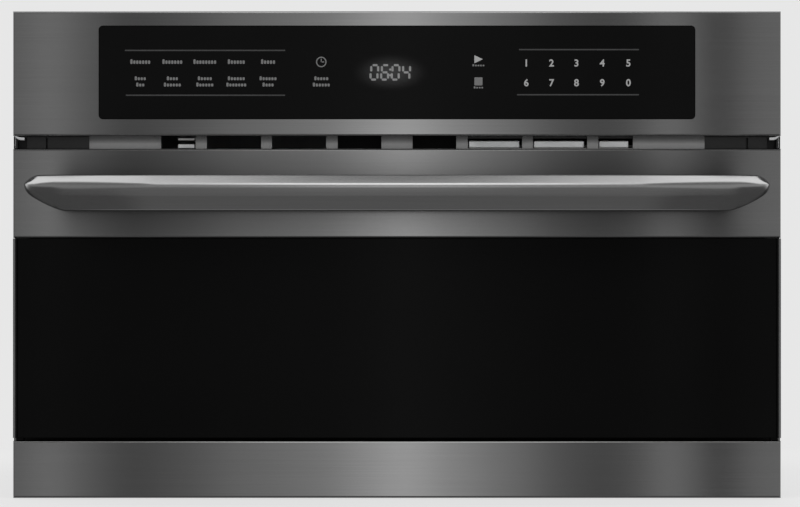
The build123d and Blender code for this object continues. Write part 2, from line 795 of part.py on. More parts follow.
roller_guide = Pos(0, middle_y, guide_z[0]) * extrude(RegularPolygon(guide_hub, 6), guide_height)
for number, angle in enumerate(roller_angles):
    arm = block((0, arm_reach), (-arm_width / 2, arm_width / 2), (-guide_height / 2, guide_height / 2))
    pin = extrude(RegularPolygon(roller_bore, 6), wheel_out + pin_end - arm_reach + pin_root)
    arm += Pos(arm_reach - pin_root, 0, 0) * Rot(0, 90, 0) * pin
    roller_guide += Pos(0, middle_y, axle_z) * Rot(0, 0, angle) * arm
    wheel = rod(roller_radius, spoke(angle, wheel_in), spoke(angle, wheel_out))
    hole = extrude(RegularPolygon(roller_bore + fit, 8, major_radius=False), roller_width)
    wheel -= Pos(0, middle_y, axle_z) * Rot(0, 0, angle) * Pos(wheel_in, 0, 0) * Rot(0, 90, 0) * hole
    save(f"roller_{number + 1}", wheel)
roller_guide -= rod(guide_hole, (0, middle_y, guide_z[0]), (0, middle_y, guide_z[1]))
save("roller_ring", roller_guide)

hub_radius = 9.0
wing_reach = 22.0
wing_width = 7.0
wing_height = 9.0
shank_z = (motor_top - shank_depth, cavity_floor + play)
drive = Pos(0, middle_y, shank_z[0]) * extrude(RegularPolygon(shank_radius, 8), shank_z[1] - shank_z[0])
drive += rod(hub_radius, (0, middle_y, cavity_floor + play), (0, middle_y, tray_z))
for angle in roller_angles:
    wing = Box(wing_reach, wing_width, wing_height, align=(Align.MIN, Align.CENTER, Align.MAX))
    drive += Pos(0, middle_y, tray_z) * Rot(0, 0, angle) * wing
save("drive_coupler", drive)

# Glass tray: a flat plate with a raised rim, and three lugs that the drive's wings push
tray_radius = 180.0
tray_flat = 150.0
tray_glass = 5.0
tray_rim = 11.0
lug = (10.0, 9.0, 5.0)
lug_reach = 17.0
profile = Polyline(
    (0, 0),
    (tray_flat, 0),
    (tray_radius, tray_rim),
    (tray_flat, tray_glass),
    (0, tray_glass),
    close=True,
)
tray = revolve(Plane.XZ * make_face(profile), Axis.Z)
for angle in roller_angles:
    tray += Rot(0, 0, angle + 60) * Pos(lug_reach, 0, 0) * Box(*lug, align=(Align.CENTER, Align.CENTER, Align.MAX))
save("turntable_tray", Pos(0, middle_y, tray_z) * tray)

# Waveguide: a steel duct on the ceiling from the magnetron's antenna to the port
waveguide_wall = 1.0
waveguide_x = (20.0, 172.0)
waveguide_side = 10.0
waveguide_height = 38.0
waveguide_y = grown(port_y, waveguide_side)
waveguide_z = (outer_z[1], outer_z[1] + waveguide_height)
antenna = 9.0
antenna_length = 24.0
antenna_room = 2.0
tube_at = (125.0, middle_y)
waveguide = block(waveguide_x, waveguide_y, waveguide_z) - block(
    grown(waveguide_x, -waveguide_wall), grown(waveguide_y, -waveguide_wall), grown(waveguide_z, -waveguide_wall)
)
waveguide -= block(port_x, port_y, (waveguide_z[0], waveguide_z[0] + waveguide_wall))
antenna_x = (tube_at[0] - antenna, tube_at[0] + antenna)
antenna_y = (tube_at[1] - antenna, tube_at[1] + antenna)
waveguide -= block(
    grown(antenna_x, antenna_room), grown(antenna_y, antenna_room), (waveguide_z[1] - waveguide_wall, waveguide_z[1])
)
save("waveguide", waveguide)

# Mica cover: a thin sheet under the ceiling over the port
mica = 0.6
mica_lap = 8.0
save("mica_cover", block(grown(port_x, mica_lap), grown(port_y, mica_lap), (cavity_top - mica, cavity_top)))

# Magnetron: an open steel yoke round a finned anode, with the filter box on top
yoke_half = (46.0, 38.0)
yoke_gauge = 2.0
yoke_height = 60.0
anode = 19.0
fin_count = 4
fin_gauge = 1.0
fin_back = 4.0
filter_half = (32.0, 26.0)
filter_height = 26.0
yoke_z = (waveguide_z[1], waveguide_z[1] + yoke_height)
tube_x = (tube_at[0] - yoke_half[0], tube_at[0] + yoke_half[0])
tube_y = (tube_at[1] - yoke_half[1], tube_at[1] + yoke_half[1])
magnetron = block(tube_x, tube_y, yoke_z) - block(grown(tube_x, -yoke_gauge), tube_y, grown(yoke_z, -yoke_gauge))
magnetron += Pos(*tube_at, yoke_z[0]) * extrude(RegularPolygon(anode, 8), yoke_height)
for number in range(fin_count):
    level = yoke_z[0] + yoke_height * (number + 1) / (fin_count + 1)
    magnetron += block(grown(tube_x, -yoke_gauge), grown(tube_y, -fin_back), (level, level + fin_gauge))
magnetron += block(
    (tube_at[0] - filter_half[0], tube_at[0] + filter_half[0]),
    (tube_at[1] - filter_half[1], tube_at[1] + filter_half[1]),
    (yoke_z[1], yoke_z[1] + filter_height),
)
magnetron += Pos(*tube_at, yoke_z[0] - antenna_length) * extrude(RegularPolygon(antenna, 8), antenna_length)
save("magnetron", magnetron)

# Exhaust duct's legs stand on the ceiling beside its inner end
leg_width = 15.0
for leg_x in ((duct_out[0], duct_out[0] + sheet), (duct_out[1] - sheet, duct_out[1])):
    duct += block(leg_x, (duct_y[1] - leg_width, duct_y[1]), (outer_z[1], duct_low))
save("exhaust_duct", duct)

# Cooling fan: a square shroud on the ceiling, a bladed wheel and a shaded-pole motor behind it
fan_x = tube_at[0]
fan_rise = 70.0
fan_setback = 117.0
fan_depth = 24.0
fan_half = 58.0
fan_bore = 53.0
fan_z = cavity_top + fan_rise
fan_y = (back_y - fan_setback - fan_depth, back_y - fan_setback)
strut = 4.0
fan_hub = 15.0
fan_tip = 50.0
blade_count = 5
blade_gauge = 1.6
blade_root = 2.0
blade_pitch = 38.0
shaft = 2.5
fan_motor_half = (20.0, 22.0)
fan_motor_depth = 26.0
shroud_back = fan_y[1] + strut
fan_span = (fan_x - fan_half, fan_x + fan_half)
shroud = block(fan_span, fan_y, (fan_z - fan_half, fan_z + fan_half))
shroud -= rod(fan_bore, (fan_x, fan_y[0], fan_z), (fan_x, fan_y[1], fan_z))
shroud += block(fan_span, (fan_y[1], shroud_back), (fan_z - strut, fan_z + strut))
for x in (fan_span[0], fan_span[1] - 3 * strut):
    shroud += block((x, x + 3 * strut), fan_y, (outer_z[1], fan_z - fan_half))
shroud -= block((fan_x - strut, fan_x + strut), (fan_y[1], shroud_back), (fan_z - strut, fan_z + strut))
save("fan_shroud", shroud)

fan_motor_y = (shroud_back, shroud_back + fan_motor_depth)
fan_motor = block(
    (fan_x - fan_motor_half[0], fan_x + fan_motor_half[0]),
    grown(fan_motor_y, -fan_motor_depth / 4),
    (fan_z - fan_motor_half[1], fan_z + fan_motor_half[1]),
)
boss_x = (fan_x - fan_motor_half[0] / 2, fan_x + fan_motor_half[0] / 2)
fan_motor += block(boss_x, fan_motor_y, (fan_z - fan_motor_half[0] / 2, fan_z + fan_motor_half[0] / 2))
fan_motor -= rod(shaft + fit, (fan_x, fan_motor_y[0], fan_z), (fan_x, fan_motor_y[1] - strut, fan_z))
save("fan_motor", fan_motor)

wheel_y = grown(fan_y, -strut)
impeller = rod(fan_hub, (fan_x, wheel_y[0], fan_z), (fan_x, wheel_y[1], fan_z))
shaft_end = fan_motor_y[1] - 2 * strut
impeller += Plane(origin=(fan_x, wheel_y[1], fan_z), z_dir=(0, 1, 0)) * extrude(
    RegularPolygon(shaft, 6), shaft_end - wheel_y[1]
)
blade_size = (fan_tip - fan_hub + blade_root, fan_depth - 3 * strut, blade_gauge)
blade = Pos(fan_hub - blade_root, 0, 0) * Box(*blade_size, align=(Align.MIN, Align.CENTER, Align.CENTER))
for number in range(blade_count):
    turned = Rot(0, 360 * number / blade_count, 0) * Rot(blade_pitch, 0, 0) * blade
    impeller += Pos(fan_x, middle(wheel_y), fan_z) * turned
save("fan_impeller", impeller)

# High-voltage transformer: a stack of steel laminations with two windings round its middle leg
core_at = (313.0, 70.0)
core_size = (70.0, 50.0, 84.0)
core_leg = 14.0
core_window = 14.0
coil_reach = 15.0
coil_gap = 1.0
shunt_half = 3.0
coil_corner = 10.0
core_z = (side_z[0], side_z[0] + core_size[2])
core_x = (core_at[0] - core_size[0] / 2, core_at[0] + core_size[0] / 2)
core_y = (core_at[1] - core_size[1] / 2, core_at[1] + core_size[1] / 2)
windows = [
    (core_x[0] + core_leg, core_x[0] + core_leg + core_window),
    (core_x[1] - core_leg - core_window, core_x[1] - core_leg),
]
leg_z = grown(core_z, -core_leg)
transformer = block(core_x, core_y, core_z)
for span in windows:
    transformer -= block(span, core_y, leg_z)
coil_x = (windows[0][0] + coil_gap, windows[1][1] - coil_gap)
gap_z = middle(core_z)
for coil_z in ((leg_z[0] + coil_gap, gap_z - shunt_half), (gap_z + shunt_half, leg_z[1] - coil_gap)):
    winding = block(coil_x, grown(core_y, coil_reach), coil_z)
    transformer += chamfer(winding.edges().filter_by(Axis.Z), coil_corner)
save("transformer", transformer)

# High-voltage capacitor: an oval can on the base, with two tags
can_at = (313.0, -40.0)
can_size = (50.0, 34.0, 80.0)
tag = (6.0, 1.0, 10.0)
tag_place = 10.0
can = Pos(*can_at, side_z[0]) * extrude(SlotOverall(can_size[0], can_size[1]), can_size[2])
for x in (-tag_place, tag_place):
    can += Pos(can_at[0] + x, can_at[1], side_z[0] + can_size[2]) * Box(
        *tag, align=(Align.CENTER, Align.CENTER, Align.MIN)
    )
save("capacitor", can)

# Oven lamp: a glass lens on the left wall's outside, a tin lamp house over it, and the bulb
lens = 2.0
house_depth = 30.0
house_wall = 1.0
bulb_radius = 8.0
bulb_length = 22.0
house_x = (-cavity_side - lens - house_depth, -cavity_side - lens)
house_side = 5.0
house_y = grown(lamp_y, house_side)
house_z = grown(lamp_z, house_side)
save("lamp_lens", block((-cavity_side - lens, -cavity_side), house_y, house_z))
house = block(house_x, house_y, house_z)
house -= block((house_x[0] + house_wall, house_x[1]), grown(house_y, -house_wall), grown(house_z, -house_wall))
save("lamp_housing", house)
bulb_x = (house_x[0] + house_wall, house_x[0] + house_wall + bulb_length)
bulb_at = (middle(lamp_y), middle(lamp_z))
save("lamp_bulb", rod(bulb_radius, (bulb_x[0], *bulb_at), (bulb_x[1], *bulb_at)))

# Mains filter: a board on four posts beside the cord's gland, with its coil and fuse
filter_width = 64.0
filter_length = 110.0
filter_setback = 31.0
filter_side = 10.0
post_half = 3.0
post_inset = 6.0
post_height = 10.0
choke_size = (30.0, 24.0, 20.0)
fuse = (30.0, 12.0, 18.0)
fuse_place = 36.0
filter_x = (-half_body + filter_side, -half_body + filter_side + filter_width)
filter_y = (back_y - filter_setback - filter_length, back_y - filter_setback)
filter_z = side_z[0] + post_height
mains_filter = block(filter_x, filter_y, (filter_z, filter_z + board))
for x in grown(filter_x, -post_inset):
    for y in grown(filter_y, -post_inset):
        mains_filter += block(grown((x, x), post_half), grown((y, y), post_half), (side_z[0], filter_z))
choke_at = (middle(filter_x), middle(filter_y), filter_z + board)
mains_filter += Pos(*choke_at) * Box(*choke_size, align=(Align.CENTER, Align.CENTER, Align.MIN))
mains_filter += Pos(choke_at[0], choke_at[1] + fuse_place, choke_at[2]) * Box(
    *fuse, align=(Align.CENTER, Align.CENTER, Align.MIN)
)
save("filter_board", mains_filter)
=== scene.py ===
import math

import bmesh
import bpy
from mathutils import Matrix, Vector


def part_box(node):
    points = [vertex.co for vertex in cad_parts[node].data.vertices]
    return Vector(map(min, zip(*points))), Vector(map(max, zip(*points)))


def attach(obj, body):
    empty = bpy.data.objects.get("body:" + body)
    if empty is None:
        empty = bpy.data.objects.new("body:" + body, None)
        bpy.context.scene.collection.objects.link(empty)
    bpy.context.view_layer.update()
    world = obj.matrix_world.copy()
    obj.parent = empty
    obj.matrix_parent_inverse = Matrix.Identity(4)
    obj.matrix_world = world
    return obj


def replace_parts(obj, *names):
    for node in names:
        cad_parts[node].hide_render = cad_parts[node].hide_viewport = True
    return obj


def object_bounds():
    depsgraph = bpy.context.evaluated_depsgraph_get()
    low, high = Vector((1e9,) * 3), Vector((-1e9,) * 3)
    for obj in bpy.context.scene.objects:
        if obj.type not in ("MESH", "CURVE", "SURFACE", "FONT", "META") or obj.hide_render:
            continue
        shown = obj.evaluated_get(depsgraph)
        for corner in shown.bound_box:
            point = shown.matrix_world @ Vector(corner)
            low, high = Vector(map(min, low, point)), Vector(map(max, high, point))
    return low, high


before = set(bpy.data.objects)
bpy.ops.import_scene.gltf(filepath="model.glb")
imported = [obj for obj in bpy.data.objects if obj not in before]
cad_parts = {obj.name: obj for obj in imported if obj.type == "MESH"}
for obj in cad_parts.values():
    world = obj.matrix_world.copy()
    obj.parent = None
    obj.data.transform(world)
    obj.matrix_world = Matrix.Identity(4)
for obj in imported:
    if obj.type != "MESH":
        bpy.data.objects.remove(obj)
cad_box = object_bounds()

# The room: a pale sheet under the oven, a pale backdrop behind it, and a dim studio in front with
# upright soft lights in it. Brushed steel shows those lights as broad upright bands.
scene = bpy.context.scene
scene.view_settings.view_transform = "Standard"
backdrop_grey = 0.799
plain_level = 0.80
overhead_level = 1.25
overhead_dim = 0.22
# The strip light overhead, in its middle and at its ends: how bright, how high up, how broad.
strip_levels = (2.0, 1.15)
strip_middle = (0.92, 1.58)
strip_half = (0.30, 0.46)
strip_edge = 0.16
dim_side = 0.09
dim_floor = 0.14
floor_glow = 0.30
# Where each part of the studio gives way to the next, in parts of a whole direction.
studio_front = (-0.45, -0.10)
below = (0.10, 0.42)
below_side = (0.16, 0.42)
straight_down = (0.86, 0.99)
above = (0.28, 0.55)
high_above = (1.00, 1.42)
strip_end = (0.035, 0.100)
strip_side = (0.13, 0.32)
floor_albedo = 0.95
floor_margin = 0.30
floor_drop = 0.0005
floor_fade = 0.70
shadow_share = 0.25
# The studio's lights from left to right: how far along, and how bright.
studio_lights = (
    (0.000, 0.30), (0.042, 0.52), (0.085, 0.30), (0.148, 0.15), (0.210, 0.23), (0.300, 0.40),
    (0.400, 0.52), (0.450, 0.78), (0.505, 1.10), (0.570, 0.70), (0.640, 0.46), (0.712, 0.23),
    (0.765, 0.16), (0.805, 0.21), (0.850, 0.50), (0.882, 0.34), (0.912, 0.07), (0.965, 0.38),
)
studio_reach = 0.1265


def grey(level):
    """A neutral colour."""
    return (level, level, level, 1.0)


def add(tree, kind, inputs=(), **settings):
    """A node with its settings and inputs; an input is a value or another node's output."""
    made = tree.nodes.new(kind)
    for name, value in settings.items():
        setattr(made, name, value)
    for name, value in dict(inputs).items():
        if isinstance(value, bpy.types.NodeSocket):
            tree.links.new(value, made.inputs[name])
        else:
            made.inputs[name].default_value = value
    return made


def math_node(tree, operation, first, second=0.0):
    """The result of one sum on two values."""
    return add(tree, "ShaderNodeMath", {0: first, 1: second}, operation=operation).outputs[0]


def vector_node(tree, operation, first, second=(0.0, 0.0, 0.0)):
    """The result of one sum on two vectors."""
    return add(tree, "ShaderNodeVectorMath", {0: first, 1: second}, operation=operation).outputs[0]


def ease(tree, value, low, high):
    """Rises smoothly from 0 at low to 1 at high."""
    inputs = {"Value": value, "From Min": low, "From Max": high}
    return add(tree, "ShaderNodeMapRange", inputs, interpolation_type="SMOOTHSTEP").outputs[0]


def between(tree, share, first, second):
    """A blend of two values."""
    return add(tree, "ShaderNodeMix", {0: share, 2: first, 3: second}).outputs[0]


def piece_place(tree):
    """Where a point lies on its piece, in metres."""
    return add(tree, "ShaderNodeTexCoord").outputs["Object"]


world = bpy.data.worlds.new("room")
world.use_nodes = True
scene.world = world
room = world.node_tree
room.nodes.clear()
way = add(room, "ShaderNodeSeparateXYZ", {0: add(room, "ShaderNodeTexCoord").outputs["Generated"]})
across, back, up = way.outputs
forward = math_node(room, "MULTIPLY", back, -1.0)
aside = math_node(room, "DIVIDE", across, math_node(room, "MAXIMUM", forward, 0.1))
place = add(
    room, "ShaderNodeMapRange", {"Value": aside, "From Min": -studio_reach, "From Max": studio_reach}
).outputs[0]
bands = add(room, "ShaderNodeValToRGB", {0: place})
bands.color_ramp.interpolation = "EASE"
while len(bands.color_ramp.elements) < len(studio_lights):
    bands.color_ramp.elements.new(0.5)
for stop, (position, level) in zip(bands.color_ramp.elements, studio_lights):
    stop.position = position
    stop.color = grey(level)
studio = between(room, ease(room, forward, *studio_front), backdrop_grey, bands.outputs["Color"])
down = math_node(room, "MULTIPLY", up, -1.0)
wide = ease(room, math_node(room, "ABSOLUTE", aside), *below_side)
floor_level = between(room, wide, dim_floor, dim_side)
floor_level = between(room, ease(room, down, *straight_down), floor_level, floor_glow)
studio = between(room, ease(room, down, *below), studio, floor_level)
sideways = math_node(room, "ABSOLUTE", across)
outward = ease(room, sideways, *strip_end)
tilt = math_node(room, "ARCTAN2", up, forward)
off_middle = math_node(room, "SUBTRACT", tilt, between(room, outward, *strip_middle))
off_middle = math_node(room, "ABSOLUTE", off_middle)
inside = math_node(room, "SUBTRACT", between(room, outward, *strip_half), off_middle)
in_strip = ease(room, inside, -strip_edge, strip_edge)
strip = between(room, in_strip, overhead_dim, between(room, outward, *strip_levels))
high_up = between(room, ease(room, tilt, *high_above), overhead_dim, overhead_level)
overhead = between(room, ease(room, sideways, *strip_side), strip, high_up)
studio = between(room, ease(room, up, *above), studio, overhead)
path = add(room, "ShaderNodeLightPath").outputs
plain = math_node(room, "MAXIMUM", path["Is Camera Ray"], path["Is Transmission Ray"])
light = between(room, path["Is Diffuse Ray"], studio, plain_level)
light = between(room, plain, light, backdrop_grey)
sky = add(room, "ShaderNodeBackground", {"Color": light})
room.links.new(sky.outputs[0], add(room, "ShaderNodeOutputWorld").inputs[0])

low, high = cad_box
span = high - low
centre = (low + high) / 2
spread = Matrix.Diagonal((span.x + 2 * floor_margin, span.y + 2 * floor_margin, 1, 1))
laid = Matrix.Translation((centre.x, centre.y, low.z - floor_drop)) @ spread
bm = bmesh.new()
bmesh.ops.create_grid(bm, x_segments=8, y_segments=8, size=0.5, matrix=laid)
floor_mesh = bpy.data.meshes.new("floor")
bm.to_mesh(floor_mesh)
bm.free()
floor = bpy.data.objects.new("floor", floor_mesh)
scene.collection.objects.link(floor)
paper = bpy.data.materials.new("pale_floor")
paper.use_nodes = True
tree = paper.node_tree
tree.nodes.clear()
lit = add(tree, "ShaderNodeBsdfDiffuse", {"Color": grey(floor_albedo)})
shown = add(tree, "ShaderNodeEmission", {"Color": grey(backdrop_grey)})
seen = add(tree, "ShaderNodeLightPath").outputs["Is Camera Ray"]
apart = vector_node(tree, "SUBTRACT", piece_place(tree), (centre.x, centre.y, low.z))
edge = [1 / (size / 2 + floor_margin) for size in (span.x, span.y)]
apart = vector_node(tree, "ABSOLUTE", vector_node(tree, "MULTIPLY", apart, (*edge, 0.0)))
apart = add(tree, "ShaderNodeSeparateXYZ", {0: apart}).outputs
rim = math_node(tree, "MAXIMUM", apart["X"], apart["Y"])
camera_share = between(tree, ease(tree, rim, floor_fade, 1.0), 1 - shadow_share, 1.0)
camera_share = math_node(tree, "MULTIPLY", seen, camera_share)
mixed = add(tree, "ShaderNodeMixShader", {0: camera_share, 1: lit.outputs[0], 2: shown.outputs[0]})
tree.links.new(mixed.outputs[0], add(tree, "ShaderNodeOutputMaterial").inputs[0])
floor_mesh.materials.append(paper)
floor.visible_glossy = False


def soft_lamp(name, place, width, height, watts):
    """A rectangular soft light that faces the oven."""
    data = bpy.data.lights.new(name, "AREA")
    data.shape = "RECTANGLE"
    data.size, data.size_y, data.energy = width, height, watts
    lamp = bpy.data.objects.new(name, data)
    lamp.location = place
    lamp.rotation_euler = (centre - Vector(place)).to_track_quat("-Z", "Y").to_euler()
    lamp.visible_glossy = False
    scene.collection.objects.link(lamp)


soft_lamp("key", (-1.1, -1.5, 2.0), 1.2, 0.9, 9.0)
soft_lamp("fill", (1.3, -1.2, 1.8), 1.0, 0.9, 5.0)
soft_lamp("rear", (0.4, 1.7, 1.6), 1.2, 0.8, 5.0)

# The camera: a long lens straight in front of the oven, level with its middle.
camera_distance = 3.0
view_width = 0.7906
view_place = (0.003, 0.2416)
camera_data = bpy.data.cameras.new("camera")
camera_data.sensor_width = 36.0
camera_data.lens = camera_data.sensor_width * camera_distance / view_width
camera_data.clip_end = 50.0
camera = bpy.data.objects.new("camera", camera_data)
front_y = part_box("control_fascia")[0].y
camera.location = (view_place[0], front_y - camera_distance, view_place[1])
camera.rotation_euler = (math.pi / 2, 0, 0)
scene.collection.objects.link(camera)
scene.camera = camera

# Steel fronts: the control fascia, the door's top band, the trim below the door and the vent strip
# are folded from dark stainless sheet, brushed from side to side.
cloud_share = 0.4
# A painted shade on a top fold: how far below the fold it reaches, and how much colour it leaves.
fold_reach = (0.0009, 0.0017)
fold_shade_level = 0.30


def new_material(name, **surface):
    """A material with one Principled shader, its tree and the shader."""
    material = bpy.data.materials.new(name)
    material.use_nodes = True
    shader = material.node_tree.nodes["Principled BSDF"]
    for socket, value in surface.items():
        shader.inputs[socket.replace("_", " ")].default_value = value
    return material, material.node_tree, shader


def new_group(name, inputs, outputs):
    """A shader node group with float inputs and outputs."""
    group = bpy.data.node_groups.new(name, "ShaderNodeTree")
    for socket, value in inputs.items():
        made = group.interface.new_socket(socket, in_out="INPUT", socket_type="NodeSocketFloat")
        made.default_value = value
    for socket in outputs:
        group.interface.new_socket(socket, in_out="OUTPUT", socket_type="NodeSocketFloat")
    return group, group.nodes.new("NodeGroupInput"), group.nodes.new("NodeGroupOutput")


def place_group(tree, group, **inputs):
    """The outputs of a group placed in a material with its own values."""
    made = tree.nodes.new("ShaderNodeGroup")
    made.node_tree = group
    for socket, value in inputs.items():
        if isinstance(value, bpy.types.NodeSocket):
            tree.links.new(value, made.inputs[socket])
        else:
            made.inputs[socket].default_value = value
    return made.outputs


def tinted(tree, shader, value, dark, light, painted_shade=1.0):
    """Gives the shader a base colour between two colours, by a value, and darkens it by a painted shade."""
    mix = add(tree, "ShaderNodeMix", {0: value, 6: dark, 7: light}, data_type="RGBA")
    colour = add(tree, "ShaderNodeVectorMath", {0: mix.outputs[2], 3: painted_shade}, operation="SCALE")
    tree.links.new(colour.outputs[0], shader.inputs["Base Color"])


def rough_between(tree, shader, value, low, high):
    """Gives the shader a roughness between two values."""
    tree.links.new(between(tree, value, low, high), shader.inputs["Roughness"])


def bumped(tree, shader, height, distance, strength=1.0):
    """Gives the shader a normal from a height in the material."""
    bump = add(tree, "ShaderNodeBump", {"Height": height, "Distance": distance, "Strength": strength})
    tree.links.new(bump.outputs[0], shader.inputs["Normal"])


brushing, entry, result = new_group("Brushing", {"Length": 7.0, "Fineness": 820.0}, ("Line", "Cloud"))
for name, length, fineness, detail in (
    ("Line", entry.outputs["Length"], entry.outputs["Fineness"], 3.0),
    ("Cloud", 2.0, 30.0, 2.0),
):
    along = add(brushing, "ShaderNodeCombineXYZ", {0: length, 1: fineness, 2: fineness}).outputs[0]
    stretched = vector_node(brushing, "MULTIPLY", piece_place(brushing), along)
    noise = add(brushing, "ShaderNodeTexNoise", {"Vector": stretched, "Scale": 1.0, "Detail": detail})
    brushing.links.new(noise.outputs[0], result.inputs[name])

# Painted shade: ambient occlusion darkens a steel's colour where other pieces stand within reach, seen from
# a given facing, and fades out beyond a half width.
shade, entry, result = new_group("Shade", {"Reach": 0.05, "Half": 1.0, "Depth": 1.3}, ("Kept",))
shade_fade = 0.03
facing = shade.interface.new_socket("Facing", in_out="INPUT", socket_type="NodeSocketVector")
given = {"Distance": entry.outputs["Reach"], "Normal": entry.outputs["Facing"]}
open_share = add(shade, "ShaderNodeAmbientOcclusion", given, samples=8).outputs["AO"]
hidden = math_node(shade, "SUBTRACT", 1.0, math_node(shade, "POWER", open_share, entry.outputs["Depth"]))
side = add(shade, "ShaderNodeSeparateXYZ", {0: piece_place(shade)}).outputs["X"]
side = math_node(shade, "ABSOLUTE", side)
fade_from = math_node(shade, "SUBTRACT", entry.outputs["Half"], shade_fade)
inside = math_node(shade, "SUBTRACT", 1.0, ease(shade, side, fade_from, entry.outputs["Half"]))
kept = math_node(shade, "SUBTRACT", 1.0, math_node(shade, "MULTIPLY", hidden, inside))
shade.links.new(kept, result.inputs["Kept"])


def brushed_steel(name, dark, light, roughness, spread, reach=0.0, half=1.0, facing=None, fold=None):
    """Stainless sheet whose grain runs from side to side, so that reflections smear up and down. Its
    colour can carry painted shade where other pieces stand within reach, less beyond a half width,
    and on its top fold."""
    material, tree, shader = new_material(name, Metallic=1.0, Anisotropic=spread, Anisotropic_Rotation=0.25)
    painted_shade = 1.0
    # Painted shade where other pieces stand within reach.
    if reach:
        towards = add(tree, "ShaderNodeNewGeometry").outputs["Normal"]
        if facing:
            towards = add(tree, "ShaderNodeCombineXYZ", dict(enumerate(facing))).outputs[0]
        painted_shade = place_group(tree, shade, Reach=reach, Half=half, Facing=towards)["Kept"]
    # Painted shade on the top fold, that dims its highlight.
    if fold:
        height = add(tree, "ShaderNodeSeparateXYZ", {0: piece_place(tree)}).outputs["Z"]
        on_fold = ease(tree, height, fold - fold_reach[1], fold - fold_reach[0])
        painted_shade = math_node(tree, "MULTIPLY", painted_shade, between(tree, on_fold, 1.0, fold_shade_level))
    lines = place_group(tree, brushing)
    tone = between(tree, cloud_share, lines["Line"], lines["Cloud"])
    tinted(tree, shader, tone, grey(dark), grey(light), painted_shade)
    rough_between(tree, shader, lines["Line"], roughness * 0.9, roughness * 1.1)
    tangent = add(tree, "ShaderNodeTangent", direction_type="RADIAL", axis="Z")
    tree.links.new(tangent.outputs[0], shader.inputs["Tangent"])
    bumped(tree, shader, lines["Line"], 0.00001)
    return material


def dress(material, *names):
    """Gives CAD pieces a material."""
    for name in names:
        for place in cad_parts[name].material_slots:
            place.material = material


dark_steel = brushed_steel("dark_steel", 0.26, 0.34, 0.10, 1.0)
dress(dark_steel, "control_fascia", "lower_trim")
door_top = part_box("door_band")[1].z
# The door's band carries painted shade round the handle, and painted shade on its top fold.
band_steel = brushed_steel("band_steel", 0.26, 0.34, 0.10, 1.0, reach=0.06, half=0.345, fold=door_top)
dress(band_steel, "door_band")

# Touch glass and door glass: black glass with ground edges, back-printed black. The door's sheet
# is a little darker than the touch panel's.
grain, entry, result = new_group("Grain", {"Fine": 900.0, "Broad": 25.0}, ("Fine", "Broad"))
for name, detail in (("Fine", 2.0), ("Broad", 3.0)):
    inputs = {"Vector": piece_place(grain), "Scale": entry.outputs[name], "Detail": detail}
    noise = add(grain, "ShaderNodeTexNoise", inputs)
    grain.links.new(noise.outputs[0], result.inputs[name])


def black_glass(name, dark, light):
    """Polished black glass with a faint wipe on it."""
    material, tree, shader = new_material(name, Specular_IOR_Level=0.03)
    wipe = place_group(tree, grain, Fine=6.0)["Fine"]
    rough_between(tree, shader, wipe, 0.03, 0.07)
    tinted(tree, shader, wipe, grey(dark), grey(light))
    return material


dress(black_glass("touch_glass", 0.0042, 0.0056), "touch_glass")
dress(black_glass("door_glass", 0.0030, 0.0042), "door_glass")

# Side trims: thin black strips that hold the door's glass at its sides, with a bright ground edge.
trim_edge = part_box("door_side_trims")[1].x - 0.0024
side_steel, tree, shader = new_material("side_trim", Metallic=1.0)
spot = add(tree, "ShaderNodeSeparateXYZ", {0: piece_place(tree)}).outputs
outer = ease(tree, math_node(tree, "ABSOLUTE", spot["X"]), trim_edge, trim_edge + 0.0006)
marks = place_group(tree, brushing, Length=30.0, Fineness=400.0)
tinted(tree, shader, outer, grey(0.012), grey(0.26))
rough_between(tree, shader, marks["Line"], 0.25, 0.40)
bumped(tree, shader, marks["Cloud"], 0.00002, 0.4)
dress(side_steel, "door_side_trims")

# Handle: a wide creased blade of bright brushed steel. Its top leans forward to the crease, its face
# falls back below, and the ends sweep in to the door. It is one extrusion, bent and ground.
handle_low, handle_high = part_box("handle")
band_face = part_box("door_band")[0].y
handle_half = handle_high.x
handle_reach = band_face - handle_low.y
handle_sweep = 0.132
handle_taper = 0.042
handle_nose = 0.017
handle_gap = 0.030
foot_length = 0.034
tip_reach = 0.003
heel = 0.0015
facet_run = 0.0098
facet_share = 0.58
top_drop = 0.026
bottom_drop = 0.062
# The crease, in the handle's middle and on its ends: how round, and how far below the door's top.
crease_radius = (0.0060, 0.0115)
crease_drop = (0.0365, 0.0350)
# How far the nose falls, the lower edge rises to the tip and the tip lifts, each with its power.
nose_fall = (0.0080, 2.3)
taper_rise = (0.0195, 1.4)
tip_lift = (0.004, 6)
belly = (0.86, 0.45)
underside = (0.50, 0.03)
edge_round = 0.0008
station_count = 44
handle_straight = handle_half - handle_sweep


def rounded(corners, radii, steps):
    """A closed outline whose corners are rounded, each with the same number of points."""
    outline = []
    for number, corner in enumerate(corners):
        before = corners[number - 1] - corner
        after = corners[(number + 1) % len(corners)] - corner
        reach = radii[number] / max(math.tan(before.angle(after) / 2), 0.05)
        first = corner + before.normalized() * min(reach, before.length * 0.48)
        last = corner + after.normalized() * min(reach, after.length * 0.48)
        for step in range(steps + 1):
            share = step / steps
            outline.append(first.lerp(corner, share).lerp(corner.lerp(last, share), share))
    return outline


